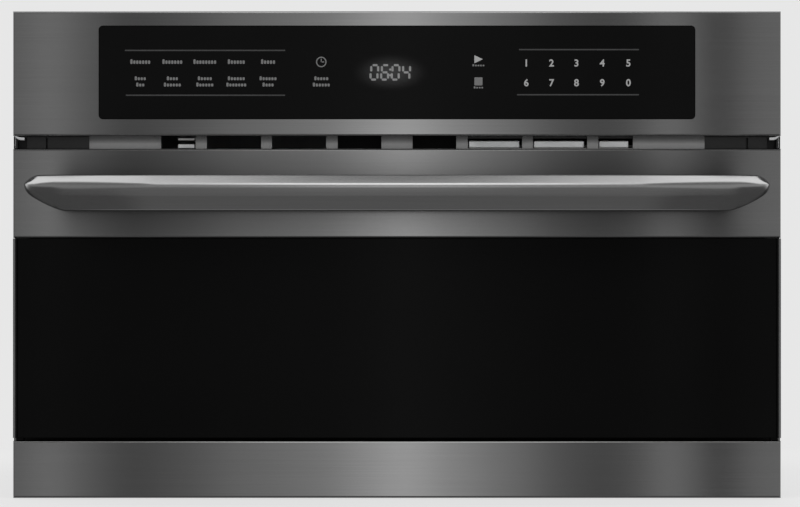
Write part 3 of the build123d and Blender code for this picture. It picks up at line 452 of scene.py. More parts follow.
def handle_section(x):
    """The blade's outline at one place along it: how far out, and how high, of each point."""
    side = abs(x)
    sweep = max(0.0, (side - handle_straight) / handle_sweep)
    reach = tip_reach + (handle_reach - tip_reach) * math.sqrt(max(0.0, 1 - sweep**2))
    slope = max(0.0, side - handle_straight) / (handle_sweep - foot_length)
    inner = handle_gap * math.sqrt(max(0.0, 1 - slope**2))
    nose = max(0.0, (side - handle_half + handle_nose) / handle_nose)
    taper = max(0.0, (side - handle_half + handle_taper) / handle_taper)
    top = door_top - top_drop - nose_fall[0] * nose ** nose_fall[1]
    bend = min(1.0, sweep * 1.3)
    crease = min(door_top - crease_drop[0] - (crease_drop[1] - crease_drop[0]) * bend, top - heel)
    bottom = door_top - bottom_drop + taper_rise[0] * taper ** taper_rise[1]
    bottom += tip_lift[0] * nose ** tip_lift[1]
    depth = reach - inner
    corners = [
        Vector((inner, top - heel)),
        Vector((reach - min(facet_share * depth, facet_run), top)),
        Vector((reach, crease)),
        Vector((inner + belly[0] * depth, crease + belly[1] * (bottom - crease))),
        Vector((inner + underside[0] * depth, bottom + underside[1] * (crease - bottom))),
        Vector((inner + underside[0] / 2 * depth, bottom)),
        Vector((inner, bottom + heel)),
    ]
    round_crease = crease_radius[0] + (crease_radius[1] - crease_radius[0]) * bend
    radii = (edge_round, 0.0050, round_crease, 0.012, 0.0025, 0.002, edge_round)
    return rounded(corners, radii, 7)


def skin(bm, first, second):
    """Faces all round between two rings of points."""
    for number in range(len(first)):
        bm.faces.new((first[number - 1], first[number], second[number], second[number - 1]))


bends = [math.sin(math.pi / 2 * number / station_count) for number in range(station_count + 1)]
right_side = [handle_straight + handle_sweep * bend for bend in bends]
stations = [-x for x in reversed(right_side)] + [0.0] + right_side
bm = bmesh.new()
rings = []
for x in stations:
    rings.append([bm.verts.new((x, band_face - out, z)) for out, z in handle_section(x)])
for first, second in zip(rings, rings[1:]):
    skin(bm, first, second)
bm.faces.new(reversed(rings[0]))
bm.faces.new(rings[-1])


def make_piece(name, bm, material, body, smooth=False):
    """Turns a finished bmesh into a piece of the object, in its place, that moves with a body."""
    bmesh.ops.recalc_face_normals(bm, faces=bm.faces)
    mesh = bpy.data.meshes.new(name)
    bm.to_mesh(mesh)
    bm.free()
    mesh.materials.append(material)
    if smooth:
        mesh.shade_smooth()
    made = bpy.data.objects.new(name, mesh)
    scene.collection.objects.link(made)
    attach(made, body)
    return made


handle_steel = brushed_steel("handle_steel", 0.44, 0.54, 0.20, 0.7)
blade = make_piece("handle_bar", bm, handle_steel, "door", smooth=True)
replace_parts(blade, "handle")

# Panel printing: pale ink on the touch glass. The keys carry plain numbers; plain blocks, a dial, a
# triangle and a square stand where words would be. Thin rules run above and below each group.
ink_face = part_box("touch_glass")[0].y - 0.00008
key_columns = (0.1278, 0.1527, 0.1774, 0.2029, 0.2287)
key_rows = (0.4295, 0.4100)
key_height = 0.0069
block_columns = (-0.2537, -0.2220, -0.1899, -0.1588, -0.1274)
block_rows = (0.4307, 0.4143, 0.4081)
block_counts = ((7, 7, 8, 6, 5), (4, 4, 5, 6, 6), (3, 6, 6, 7, 4))
block_width = 0.0022
block_gap = 0.0007
block_height = 0.0034
lower_height = block_height * 0.85
small_block = (0.0016, 0.0018)
small_drop = 0.0062
rule_width = 0.0013
dial = (-0.0748, 0.4309)
start_mark = (0.0805, 0.4336)
stop_mark = (0.0805, 0.4117)
ink_depth = 0.00004
upright = Matrix.Rotation(math.pi / 2, 4, "X")


def flat_shape(bm, corners):
    """One flat printed shape on the glass, from its corners in turn."""
    bm.faces.new([bm.verts.new((x, ink_face, z)) for x, z in corners])


def bar(bm, x, z, width, height, clipped=0.25):
    """A printed bar with clipped corners."""
    clip = min(width, height) * clipped
    half, rise = width / 2, height / 2
    flat, tall = half - clip, rise - clip
    flat_shape(bm, (
        (x - flat, z - rise), (x + flat, z - rise), (x + half, z - tall), (x + half, z + tall),
        (x + flat, z + rise), (x - flat, z + rise), (x - half, z + tall), (x - half, z - tall),
    ))


def blocks(bm, x, z, count, height, width=block_width):
    """A row of small blocks, the first one taller, centred on a place."""
    pitch = width + block_gap
    first = x - pitch * (count - 1) / 2
    bar(bm, first, z + height * 0.15, width, height * 1.35)
    for number in range(1, count):
        bar(bm, first + pitch * number, z, width, height)


def add_text(bm, words, x, z, height):
    """Printed figures, centred on a place."""
    curve = bpy.data.curves.new("figures", "FONT")
    curve.body = words
    curve.size = height * 1.40
    curve.offset = height * 0.035
    curve.align_x = "CENTER"
    curve.align_y = "CENTER"
    curve.resolution_u = 4
    shown = bpy.data.objects.new("figures", curve)
    mesh = bpy.data.meshes.new_from_object(shown)
    mesh.transform(Matrix.Translation((x, ink_face, z)) @ upright)
    bm.from_mesh(mesh)
    bpy.data.objects.remove(shown)
    bpy.data.curves.remove(curve)
    bpy.data.meshes.remove(mesh)


def grained(name, dark, light, smooth, rough, fine, broad, depth=0.0, strength=0.6, **surface):
    """A finish that is a little uneven in colour, and fine-grained in roughness and height."""
    material, tree, shader = new_material(name, **surface)
    spots = place_group(tree, grain, Fine=fine, Broad=broad)
    tinted(tree, shader, spots["Broad"], dark, light)
    rough_between(tree, shader, spots["Fine"], smooth, rough)
    if depth:
        bumped(tree, shader, spots["Fine"], depth, strength)
    return material


ink = {"smooth": 0.4, "rough": 0.6, "fine": 1800.0, "broad": 160.0, "Specular_IOR_Level": 0.1}
pale_ink = grained("pale_ink", grey(0.13), grey(0.18), **ink)
number_ink = grained("number_ink", grey(0.30), grey(0.38), **ink)
mark_half = 0.0040
bm = bmesh.new()
flat_shape(bm, (
    (start_mark[0] - mark_half, start_mark[1] - mark_half),
    (start_mark[0] + mark_half * 1.1, start_mark[1]),
    (start_mark[0] - mark_half, start_mark[1] + mark_half),
))
for number, x in enumerate(key_columns):
    add_text(bm, str(number + 1), x, key_rows[0], key_height)
    add_text(bm, str((number + 6) % 10), x, key_rows[1], key_height)
make_piece("key_numbers", bm, number_ink, "chassis")

bm = bmesh.new()
for row, counts in zip(block_rows, block_counts):
    for x, count in zip(block_columns, counts):
        blocks(bm, x, row, count, block_height if row == block_rows[0] else lower_height)
for row, count in zip(block_rows[1:], (5, 6)):
    blocks(bm, dial[0], row, count, lower_height)
for (x, z), count in ((start_mark, 5), (stop_mark, 4)):
    blocks(bm, x, z - small_drop, count, *small_block)
bar(bm, stop_mark[0], stop_mark[1], 2 * mark_half, 2 * mark_half, 0.06)
ring_count = 28
ring_radii = (0.0052, 0.0041)
for number in range(ring_count):
    turn = [2 * math.pi * (number + step) / ring_count for step in (0, 1)]
    corners = zip(ring_radii[:1] * 2 + ring_radii[1:] * 2, turn + turn[::-1])
    flat_shape(bm, [(dial[0] + r * math.cos(a), dial[1] + r * math.sin(a)) for r, a in corners])
bar(bm, dial[0], dial[1] + 0.0014, 0.0010, 0.0036)
bar(bm, dial[0] + 0.0013, dial[1], 0.0032, 0.0010)
make_piece("printed_marks", bm, pale_ink, "chassis")

rule_ink = grained("rule_ink", grey(0.042), grey(0.060), **ink)
bm = bmesh.new()
for left, right, z in (
    (-0.2690, -0.1105, 0.4423),
    (-0.2680, -0.1105, 0.3980),
    (0.1205, 0.2392, 0.4431),
    (0.1186, 0.2392, 0.3985),
):
    bar(bm, (left + right) / 2, z, right - left, rule_width)
make_piece("group_rules", bm, rule_ink, "chassis")

# Display: four lit seven-bar figures behind the touch glass, with a faint glow spread round them by
# the glass. The figures are plain numbers.
display_place = (-0.0066, 0.4206)
figure_size = (0.0068, 0.0142)
figure_pitch = 0.0105
bar_thickness = 0.0021
figure_slant = 0.05
lit_bars = {"0": "abcdef", "4": "bcfg", "6": "acdefg"}
bar_places = {
    "a": (0, 1, 1), "d": (0, -1, 1), "g": (0, 0, 1),
    "f": (-1, 0.5, 0), "b": (1, 0.5, 0), "e": (-1, -0.5, 0), "c": (1, -0.5, 0),
}
bm = bmesh.new()
for number, figure in enumerate("0604"):
    middle = display_place[0] + (number - 1.5) * figure_pitch
    for name in lit_bars[figure]:
        sideways, rise, lying = bar_places[name]
        x = middle + sideways * figure_size[0] / 2 + rise * figure_slant * figure_size[1]
        z = display_place[1] + rise * figure_size[1] / 2
        length = (figure_size[0] if lying else figure_size[1] / 2) - bar_thickness * 0.9
        width, height = (length, bar_thickness) if lying else (bar_thickness, length)
        bar(bm, x, z, width, height)
for rise in (-1, 1):
    bar(bm, display_place[0], display_place[1] + rise * 0.0028, bar_thickness, bar_thickness)
material, tree, shader = new_material(
    "display_light", Roughness=0.4, Specular_IOR_Level=0.1, Emission_Strength=1.0
)
spots = place_group(tree, grain, Fine=2500.0, Broad=300.0)
tinted(tree, shader, spots["Broad"], grey(0.02), grey(0.03))
tree.links.new(between(tree, spots["Broad"], 0.15, 0.23), shader.inputs["Emission Color"])
make_piece("display_figures", bm, material, "chassis")

glow_size = (0.080, 0.040)
glow_place = Matrix.Translation((display_place[0], ink_face + ink_depth, display_place[1]))
stood = glow_place @ upright @ Matrix.Diagonal((*glow_size, 1, 1))
bm = bmesh.new()
bmesh.ops.create_grid(bm, x_segments=12, y_segments=6, size=0.5, matrix=stood)
material, tree, shader = new_material(
    "display_glow", Roughness=0.06, Specular_IOR_Level=0.06, Emission_Strength=1.0
)
moved = vector_node(tree, "SUBTRACT", piece_place(tree), (display_place[0], ink_face, display_place[1]))
shrunk = vector_node(tree, "MULTIPLY", moved, (2 / glow_size[0], 0.0, 2 / glow_size[1]))
far_off = add(tree, "ShaderNodeVectorMath", {0: shrunk}, operation="LENGTH").outputs["Value"]
near = math_node(tree, "SUBTRACT", 1.0, ease(tree, far_off, 0.0, 1.0))
veil = place_group(tree, grain)["Fine"]
tree.links.new(between(tree, veil, 0.028, 0.044), shader.inputs["Emission Color"])
shader.inputs["Base Color"].default_value = grey(0.002)
tree.links.new(near, shader.inputs["Alpha"])
make_piece("display_glow", bm, material, "chassis")

# Trim feet: small dark tabs under the side trims, behind the glass's lower corners, that close the
# corners between the door and the trim below it. They are part of the door's folded sides.
trims_low, trims_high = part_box("door_side_trims")
foot_y = (trims_low.y + 0.0065, trims_low.y + 0.0165)
foot_z = (trims_low.z - 0.0036, trims_low.z + 0.0010)
foot_width = 0.0095


def cut_plate(bm, outline, depth):
    """A plate cut to an outline of places, with its other face a step away."""
    first = [bm.verts.new(place) for place in outline]
    second = [bm.verts.new(Vector(place) + Vector(depth)) for place in outline]
    bm.faces.new(first)
    bm.faces.new(reversed(second))
    skin(bm, first, second)


bm = bmesh.new()
for side in (-1, 1):
    outer, inner = side * (trims_high.x - 0.0001), side * (trims_high.x - foot_width)
    cut_plate(bm, (
        (outer, foot_y[0], foot_z[0]), (inner, foot_y[0], foot_z[0]),
        (inner, foot_y[0], foot_z[1]), (outer, foot_y[0], foot_z[1]),
    ), (0, foot_y[1] - foot_y[0], 0))
make_piece("trim_feet", bm, side_steel, "door")

# Black mouldings: the vent's end caps, the choke cover, the control housing, the latch housings, the
# switches, the display's case, the cord gland, the fan and its shroud. Fine-grained black plastic.
black_plastic = grained(
    "black_plastic", grey(0.010), grey(0.022), 0.38, 0.52, fine=1500.0, broad=30.0, depth=0.00006
)
dress(black_plastic, "control_housing", "display_module", "choke_cover", "interlock_switches")
dress(black_plastic, "latch_housings", "cord_gland", "fan_shroud", "fan_impeller")

# White mouldings: the latch hooks, the switch plungers, the roller guide with its wheels, and the
# drive coupler. Plain white plastic.
pale_white, clear_white = (0.62, 0.62, 0.60, 1.0), (0.74, 0.74, 0.72, 1.0)
white_plastic = grained(
    "white_plastic", pale_white, clear_white, 0.33, 0.47, fine=1500.0, broad=30.0, depth=0.00004
)
dress(white_plastic, "latch_hook_left", "latch_hook_right", "switch_plunger_left", "switch_plunger_right")
dress(white_plastic, "roller_1", "roller_2", "roller_3", "roller_ring", "drive_coupler")

# Galvanised sheet: the case, the trim's brackets, the waveguide, the latch carriers and the lamp's
# housing. The zinc shows as large crystals with ragged borders.
spangle, entry, result = new_group("Spangle", {"Crystals": 110.0, "Ragged": 0.012}, ("Crystal",))
spot = piece_place(spangle)
bent = add(spangle, "ShaderNodeTexNoise", {"Vector": spot, "Scale": 45.0, "Detail": 2.0}).outputs[1]
shift = add(spangle, "ShaderNodeVectorMath", {0: bent, 3: entry.outputs["Ragged"]}, operation="SCALE")
moved = vector_node(spangle, "ADD", spot, shift.outputs[0])
cells = add(spangle, "ShaderNodeTexVoronoi", {"Vector": moved, "Scale": entry.outputs["Crystals"]})
colour = add(spangle, "ShaderNodeSeparateColor", {0: cells.outputs["Color"]})
spangle.links.new(colour.outputs[0], result.inputs["Crystal"])


def spangled(name, dark, light):
    """Zinc-coated sheet with crystals and a little unevenness."""
    material, tree, shader = new_material(name, Metallic=0.85)
    crystal = place_group(tree, spangle)["Crystal"]
    spots = place_group(tree, grain, Fine=700.0, Broad=9.0)
    tone = between(tree, 0.35, crystal, spots["Broad"])
    tinted(tree, shader, tone, dark, light)
    rough_between(tree, shader, crystal, 0.30, 0.48)
    bumped(tree, shader, spots["Fine"], 0.00003, 0.4)
    return material


galvanised = spangled("galvanised", (0.44, 0.45, 0.46, 1.0), (0.56, 0.57, 0.58, 1.0))
dress(galvanised, "base_plate", "top_cover", "right_panel", "left_panel", "back_panel")
dress(galvanised, "trim_brackets", "latch_carriers", "waveguide", "lamp_housing")

# Baked black paint: the door's pan and its screen panel, and a duller, darker coat on the steel
# front plate round the cavity, darkened further as painted shade so that it reads black through the
# vent's windows.
peel = {"fine": 420.0, "broad": 14.0, "depth": 0.00008, "strength": 0.5}
clear_coat = {"Coat_Weight": 0.25, "Coat_Roughness": 0.2}
black_paint = grained("black_paint", grey(0.012), grey(0.024), 0.30, 0.42, **peel, **clear_coat)
dress(black_paint, "door_frame", "door_screen")
plate_paint_and_shade = grained(
    "plate_paint_and_shade", grey(0.005), grey(0.010), 0.45, 0.60, Specular_IOR_Level=0.12, **peel
)
dress(plate_paint_and_shade, "front_plate")

# Plain steel: the door's hinges, the screws and the lower flange of the vent's bracket. Rolled or
# turned steel with faint marks.
plain_steel, tree, shader = new_material("plain_steel", Metallic=1.0)
marks = place_group(tree, brushing, Length=90.0, Fineness=600.0)
spots = place_group(tree, grain, Fine=1200.0, Broad=40.0)
tone = math_node(tree, "MULTIPLY", marks["Line"], spots["Broad"])
tinted(tree, shader, math_node(tree, "MULTIPLY", tone, 2.0), grey(0.36), grey(0.58))
rough_between(tree, shader, marks["Line"], 0.24, 0.40)
bumped(tree, shader, marks["Line"], 0.00002, 0.5)
dress(plain_steel, "hinge_brackets", "hinge_leaves", "handle_screws", "panel_screws")

# Vent strip: a steel sheet set back under the fascia, cut out into eight windows that step out from
# a centre post. Its foot is turned back behind the door's top edge, and leaves a thin sill in the
# three right windows.
strip_low, strip_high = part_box("vent_grille")
fascia_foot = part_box("control_fascia")[0].z
vent_windows = ((0.0155, 0.0587), (0.0703, 0.1240), (0.1348, 0.1885), (0.1997, 0.2338))
vent_sheet = 0.001
vent_foot = door_top + 0.0002
window_top = fascia_foot + 0.007
foot_strip = 0.006
sill_width = 0.0013


def soften(bm, width):
    """Turns every face outwards and rounds every sharp edge."""
    bmesh.ops.recalc_face_normals(bm, faces=bm.faces)
    sharp = [edge for edge in bm.edges if edge.is_manifold and edge.calc_face_angle() > 0.6]
    bmesh.ops.bevel(bm, geom=sharp, offset=width, segments=2, profile=0.5, affect="EDGES")


def comb(near, notch, far):
    """The outline of a strip whose near edge is cut back to a notch at every window."""
    outline = [(strip_low.x, near)]
    for left, right in sorted([(-right, -left) for left, right in vent_windows] + list(vent_windows)):
        outline += [(left, near), (left, notch), (right, notch), (right, near)]
    return outline + [(strip_high.x, near), (strip_high.x, far), (strip_low.x, far)]


ledge_front, ledge_z = strip_low.y + vent_sheet / 2, vent_foot + 0.00005
face = comb(vent_foot, window_top, strip_high.z)
foot = comb(ledge_front, strip_high.y - foot_strip, strip_high.y)
bm = bmesh.new()
cut_plate(bm, [(x, strip_low.y, z) for x, z in face], (0, vent_sheet, 0))
cut_plate(bm, [(x, y, ledge_z) for x, y in foot], (0, 0, vent_sheet))
for left, right in vent_windows[1:]:
    sill = [(x, ledge_front, ledge_z) for x in (left, right)]
    sill += [(x, ledge_front + sill_width, ledge_z) for x in (right, left)]
    cut_plate(bm, sill, (0, 0, vent_sheet))
soften(bm, 0.00015)
# The strip carries painted shade under the fascia's overhang, strongest at its top.
strip_facing = (0.0, -0.55, 0.83)
strip_steel = brushed_steel("strip_steel", 0.62, 0.76, 0.42, 0.6, reach=0.0075, facing=strip_facing)
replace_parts(make_piece("vent_strip", bm, strip_steel, "chassis"), "vent_grille")

# Vent end caps: black mouldings that close the gap beyond the strip. A groove parts each face in
# two, and a pocket at the corner takes the clip.
cap_low, cap_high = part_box("vent_end_caps")
cap_groove = (0.346, 0.348)
cap_pocket = (0.367, 0.3755)
groove_depth = 0.004
pocket_depth = 0.009
corner_reach = 0.0070
cap_tuck = 0.005
cap_gap = 0.0003
cap_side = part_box("door_band")[1].x - cap_gap
tuck_inset = 0.0014
bm = bmesh.new()
for side in (-1, 1):
    front, back = cap_low.y, cap_high.y
    outline = [(strip_high.x, back), (cap_side, back), (cap_side, front - corner_reach)]
    outline += [(cap_pocket[1], front - corner_reach), (cap_pocket[1], front + pocket_depth)]
    outline += [(cap_pocket[0], front + pocket_depth), (cap_pocket[0], front)]
    outline += [(cap_groove[1], front), (cap_groove[1], front + groove_depth)]
    outline += [(cap_groove[0], front + groove_depth), (cap_groove[0], front), (strip_high.x, front)]
    places = [(side * x, y, vent_foot) for x, y in outline]
    cut_plate(bm, places, (0, 0, fascia_foot - cap_gap - vent_foot))
    tucked = [(strip_high.x, back), (cap_side - tuck_inset, back)]
    tucked += [(x, front + 0.0005) for x in (cap_side - tuck_inset, strip_high.x)]
    cut_plate(bm, [(side * x, y, fascia_foot - 0.002) for x, y in tucked], (0, 0, cap_tuck))
soften(bm, 0.0003)
caps = make_piece("end_caps", bm, black_plastic, "chassis")
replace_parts(caps, "vent_end_caps")

# Corner clips: small spring clips, curled under the fascia's corners, each with a thin leg
# that reaches down to the door's top. Their zinc is whitened as a painted highlight.
clip_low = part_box("corner_clips")[0]
clip_curl = (
    (0.3683, 0.3535), (0.3730, 0.3538), (0.3754, 0.3548), (0.3770, 0.3562), (0.3782, 0.3577),
    (0.3762, 0.3577), (0.3750, 0.3570), (0.3730, 0.3564), (0.3683, 0.3563),
)
clip_leg = ((0.3770, 0.3458), (0.3774, 0.3458), (0.3772, 0.3570), (0.3768, 0.3570))
bm = bmesh.new()
for side in (-1, 1):
    cut_plate(bm, [(side * x, clip_low.y, z) for x, z in clip_curl], (0, 0.0012, 0))
    cut_plate(bm, [(side * x, clip_low.y + 0.0002, z) for x, z in clip_leg], (0, 0.0008, 0))
soften(bm, 0.0002)
# Galvanised finish with its colour raised near white: painted light for the clips and the duct's pieces.
painted_bright_zinc = spangled("painted_bright_zinc", (0.90, 0.91, 0.92, 1.0), (0.97, 0.98, 0.99, 1.0))
clips = make_piece("bent_clips", bm, painted_bright_zinc, "chassis", smooth=True)
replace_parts(clips, "corner_clips")

# Exhaust duct: a zinc-coated channel behind the right windows, its zinc whitened as painted light so
# that it reads bright in the windows' shade. Its mouth has three rolled tongues, one in each window,
# over a black seal with a hem above, which also stand in as painted shade round the mouth. The small
# bracket in the leftmost window is the same sheet, with a plain steel flange, darker as painted shade
# under the fascia.
duct_low, duct_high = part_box("exhaust_duct")
tongues = ((0.0709, 0.1217), (0.1353, 0.1859), (0.2001, 0.2299))
tongue_z = (0.3460, 0.3536)
hem_z = (0.3556, 0.3582)
bracket_bars = ((0.3457, 0.3503), (0.3533, 0.3566))
bracket_low, bracket_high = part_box("vent_bracket")


def rolled_bar(bm, low, high, roll, segments=4):
    """A bar with rolled edges between two corners. It hands back the bar's points."""
    others = set(bm.verts)
    made = bmesh.ops.create_cube(bm, size=1.0)["verts"]
    bmesh.ops.scale(bm, verts=made, vec=Vector(high) - Vector(low))
    bmesh.ops.translate(bm, verts=made, vec=(Vector(high) + Vector(low)) / 2)
    edges = [edge for edge in bm.edges if edge.verts[0] in made]
    bmesh.ops.bevel(bm, geom=edges, offset=roll, segments=segments, profile=0.5, affect="EDGES")
    return [vert for vert in bm.verts if vert not in others]


bm = bmesh.new()
bm.from_mesh(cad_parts["exhaust_duct"].data)
bmesh.ops.remove_doubles(bm, verts=bm.verts, dist=1e-6)
cut = bmesh.ops.bisect_plane(
    bm,
    geom=bm.verts[:] + bm.edges[:] + bm.faces[:],
    plane_co=(0, duct_low.y + 0.003, 0),
    plane_no=(0, -1, 0),
    clear_outer=True,
)["geom_cut"]
bmesh.ops.holes_fill(bm, edges=[part for part in cut if isinstance(part, bmesh.types.BMEdge)])
for left, right in tongues:
    rolled_bar(bm, (left, duct_low.y, tongue_z[0]), (right, duct_low.y + 0.0034, tongue_z[1]), 0.0013)
duct = make_piece("zinc_duct", bm, painted_bright_zinc, "chassis")
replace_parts(duct, "exhaust_duct")
# The black seal and hem: dark plastic that also stands in as painted shade round the duct's mouth.
bm = bmesh.new()
rolled_bar(
    bm,
    (duct_low.x, duct_low.y + 0.0010, tongue_z[0] + 0.0014),
    (duct_high.x, duct_low.y + 0.0032, tongue_z[0] + 0.0032),
    0.0003,
)
rolled_bar(bm, (duct_low.x, duct_low.y, hem_z[0]), (duct_high.x, duct_low.y + 0.0012, hem_z[1]), 0.0004)
make_piece("seal_and_shade", bm, black_plastic, "chassis")

# The flange is plain steel, darker than the zinc bar below it as painted shade under the fascia.
bar_left, bar_right = bracket_low.x - 0.001, bracket_high.x - 0.001
bracket = []
for name, steel, (low, high) in zip(
    ("zinc_bracket", "bracket_flange"), (painted_bright_zinc, plain_steel), bracket_bars
):
    bm = bmesh.new()
    rolled_bar(bm, (bar_left, bracket_low.y, low), (bar_right, bracket_high.y, high), 0.0008)
    bracket.append(make_piece(name, bm, steel, "chassis"))
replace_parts(bracket[0], "vent_bracket")

# Cavity: a box of sheet steel with its rear wall, coated in grey enamel with fine flecks.
material, tree, shader = new_material("grey_enamel", Coat_Weight=0.4, Coat_Roughness=0.12)
spots = place_group(tree, grain, Fine=1100.0, Broad=6.0)
flecks = ease(tree, spots["Fine"], 0.52, 0.66)
tone = between(tree, 0.75, spots["Broad"], flecks)
tinted(tree, shader, tone, (0.26, 0.26, 0.27, 1.0), (0.44, 0.44, 0.45, 1.0))
rough_between(tree, shader, flecks, 0.24, 0.34)
bumped(tree, shader, spots["Fine"], 0.00003, 0.4)
dress(material, "cavity_wrapper", "cavity_rear_wall")

# Mica cover: a sheet of pressed mica over the waveguide's mouth, flaky and tan.
material, tree, shader = new_material("pressed_mica", Roughness=0.5)
flakes = add(tree, "ShaderNodeTexVoronoi", {"Vector": piece_place(tree), "Scale": 210.0})
flake = add(tree, "ShaderNodeSeparateColor", {0: flakes.outputs["Color"]}).outputs[0]
tinted(tree, shader, flake, (0.34, 0.30, 0.24, 1.0), (0.56, 0.52, 0.44, 1.0))
rough_between(tree, shader, flake, 0.30, 0.60)
bumped(tree, shader, flake, 0.00005, 0.5)
dress(material, "mica_cover")

# Clear parts: the plate behind the door's screen, the lamp's lens and its bulb.
def clear_glass(name, tint, roughness):
    """Clear glass with a faint wipe on its face. Plain light goes straight through it, so that it
    leaves no dark shadow on what lies behind."""
    material, tree, shader = new_material(name, Transmission_Weight=1.0, IOR=1.48)
    rays = add(tree, "ShaderNodeLightPath").outputs
    plain = math_node(tree, "MAXIMUM", rays["Is Shadow Ray"], rays["Is Diffuse Ray"])
    passed = add(tree, "ShaderNodeBsdfTransparent", {"Color": tint}).outputs[0]
    mixed = add(tree, "ShaderNodeMixShader", {0: plain, 1: shader.outputs[0], 2: passed}).outputs[0]
    tree.links.new(mixed, tree.nodes["Material Output"].inputs["Surface"])
    spots = place_group(tree, grain, Fine=120.0, Broad=10.0)
    tinted(tree, shader, spots["Broad"], tint, grey(0.97))
    rough_between(tree, shader, spots["Fine"], roughness * 0.5, roughness * 1.5)
    return material


dress(clear_glass("clear_plate", (0.90, 0.92, 0.92, 1.0), 0.03), "door_window", "lamp_lens", "lamp_bulb")

# Feet: short moulded rubber pads under the base.
dress(grained("rubber", grey(0.022), grey(0.04), 0.65, 0.79, fine=900.0, broad=30.0, depth=0.0001), "feet")

# Power parts: the magnetron, the capacitor's can and the turntable motor are plain aluminium; the
# transformer and the fan motor are varnished iron laminations with copper windings.
material, tree, shader = new_material("plain_aluminium", Metallic=1.0)
marks = place_group(tree, brushing, Length=40.0, Fineness=500.0)
spots = place_group(tree, grain, Fine=600.0, Broad=20.0)
tinted(tree, shader, spots["Broad"], (0.56, 0.56, 0.57, 1.0), (0.74, 0.74, 0.75, 1.0))
rough_between(tree, shader, marks["Line"], 0.28, 0.42)
bumped(tree, shader, marks["Line"], 0.00002, 0.4)
dress(material, "turntable_motor", "magnetron", "capacitor")

material, tree, shader = new_material("laminations", Metallic=0.7)
inputs = {"Vector": piece_place(tree), "Scale": 160.0, "Distortion": 0.4}
layers = add(tree, "ShaderNodeTexWave", inputs).outputs[1]
spots = place_group(tree, grain, Fine=500.0, Broad=35.0)
tone = math_node(tree, "MULTIPLY", layers, spots["Broad"])
tinted(tree, shader, tone, (0.06, 0.045, 0.04, 1.0), (0.34, 0.17, 0.09, 1.0))
rough_between(tree, shader, layers, 0.35, 0.55)
bumped(tree, shader, layers, 0.0001, 0.5)
dress(material, "transformer", "fan_motor")

# Circuit boards: green laminate with copper tracks under the lacquer.
material, tree, shader = new_material("green_board", Coat_Weight=0.3, Coat_Roughness=0.2)
inputs = {"Scale": 160.0, "Mortar Size": 0.12, "Brick Width": 1.4, "Row Height": 0.5}
tracks = add(tree, "ShaderNodeTexBrick", {"Vector": piece_place(tree), **inputs}).outputs["Fac"]
spots = place_group(tree, grain, Fine=800.0, Broad=60.0)
tone = math_node(tree, "MULTIPLY", tracks, ease(tree, spots["Broad"], 0.40, 0.60))
tinted(tree, shader, tone, (0.010, 0.055, 0.026, 1.0), (0.05, 0.19, 0.09, 1.0))
rough_between(tree, shader, tracks, 0.30, 0.42)
bumped(tree, shader, tracks, 0.00004, 0.5)
dress(material, "control_board", "filter_board")

# Punched holes: the door's screen panel has rows of small holes over its whole window, and the
# cavity's right wall has a patch where the air comes in. One node tree lays out both.
def punching():
    """A node tree that lays dark hexagons in staggered rows."""
    tree = bpy.data.node_groups.new("Punching", "GeometryNodeTree")
    inputs = {"Columns": "Int", "Rows": "Int", "Pitch": "Float", "Radius": "Float", "Material": "Material"}
    for name, kind in inputs.items():
        tree.interface.new_socket(name, in_out="INPUT", socket_type="NodeSocket" + kind)
    tree.interface.new_socket("Geometry", in_out="OUTPUT", socket_type="NodeSocketGeometry")
    given = tree.nodes.new("NodeGroupInput").outputs
    columns = math_node(tree, "SUBTRACT", given["Columns"], 1.0)
    rows = math_node(tree, "SUBTRACT", given["Rows"], 1.0)
    row_pitch = math_node(tree, "MULTIPLY", given["Pitch"], math.sin(math.pi / 3))
    sheet = add(tree, "GeometryNodeMeshGrid", {
        "Size X": math_node(tree, "MULTIPLY", columns, given["Pitch"]),
        "Size Y": math_node(tree, "MULTIPLY", rows, row_pitch),
        "Vertices X": given["Columns"],
        "Vertices Y": given["Rows"],
    })
    odd = math_node(tree, "MODULO", add(tree, "GeometryNodeInputIndex").outputs[0], 2.0)
    half_pitch = math_node(tree, "MULTIPLY", given["Pitch"], 0.5)
    shift = add(tree, "ShaderNodeCombineXYZ", {0: math_node(tree, "MULTIPLY", odd, half_pitch)})
    moved = add(tree, "GeometryNodeSetPosition", {"Geometry": sheet.outputs[0], "Offset": shift.outputs[0]})
    hole = add(tree, "GeometryNodeMeshCircle", {"Vertices": 6, "Radius": given["Radius"]}, fill_type="NGON")
    placed = {"Points": moved.outputs[0], "Instance": hole.outputs[0]}
    spread = add(tree, "GeometryNodeInstanceOnPoints", placed)
    real = add(tree, "GeometryNodeRealizeInstances", {"Geometry": spread.outputs[0]})
    dark = add(tree, "GeometryNodeSetMaterial", {"Geometry": real.outputs[0], "Material": given["Material"]})
    tree.links.new(dark.outputs[0], tree.nodes.new("NodeGroupOutput").inputs["Geometry"])
    return tree


def punched(name, tree, values, matrix, body):
    """A plain mesh of punched holes, made by the node tree with its own values."""
    mesh = bpy.data.meshes.new(name)
    source = bpy.data.objects.new(name, mesh)
    scene.collection.objects.link(source)
    modifier = source.modifiers.new(name, "NODES")
    modifier.node_group = tree
    for item in tree.interface.items_tree:
        if item.in_out == "INPUT":
            modifier[item.identifier] = values[item.name]
    source.update_tag()
    bpy.context.view_layer.update()
    made = bpy.data.meshes.new_from_object(source.evaluated_get(bpy.context.evaluated_depsgraph_get()))
    source.modifiers.clear()
    made.transform(matrix)
    source.data = made
    bpy.data.meshes.remove(mesh)
    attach(source, body)


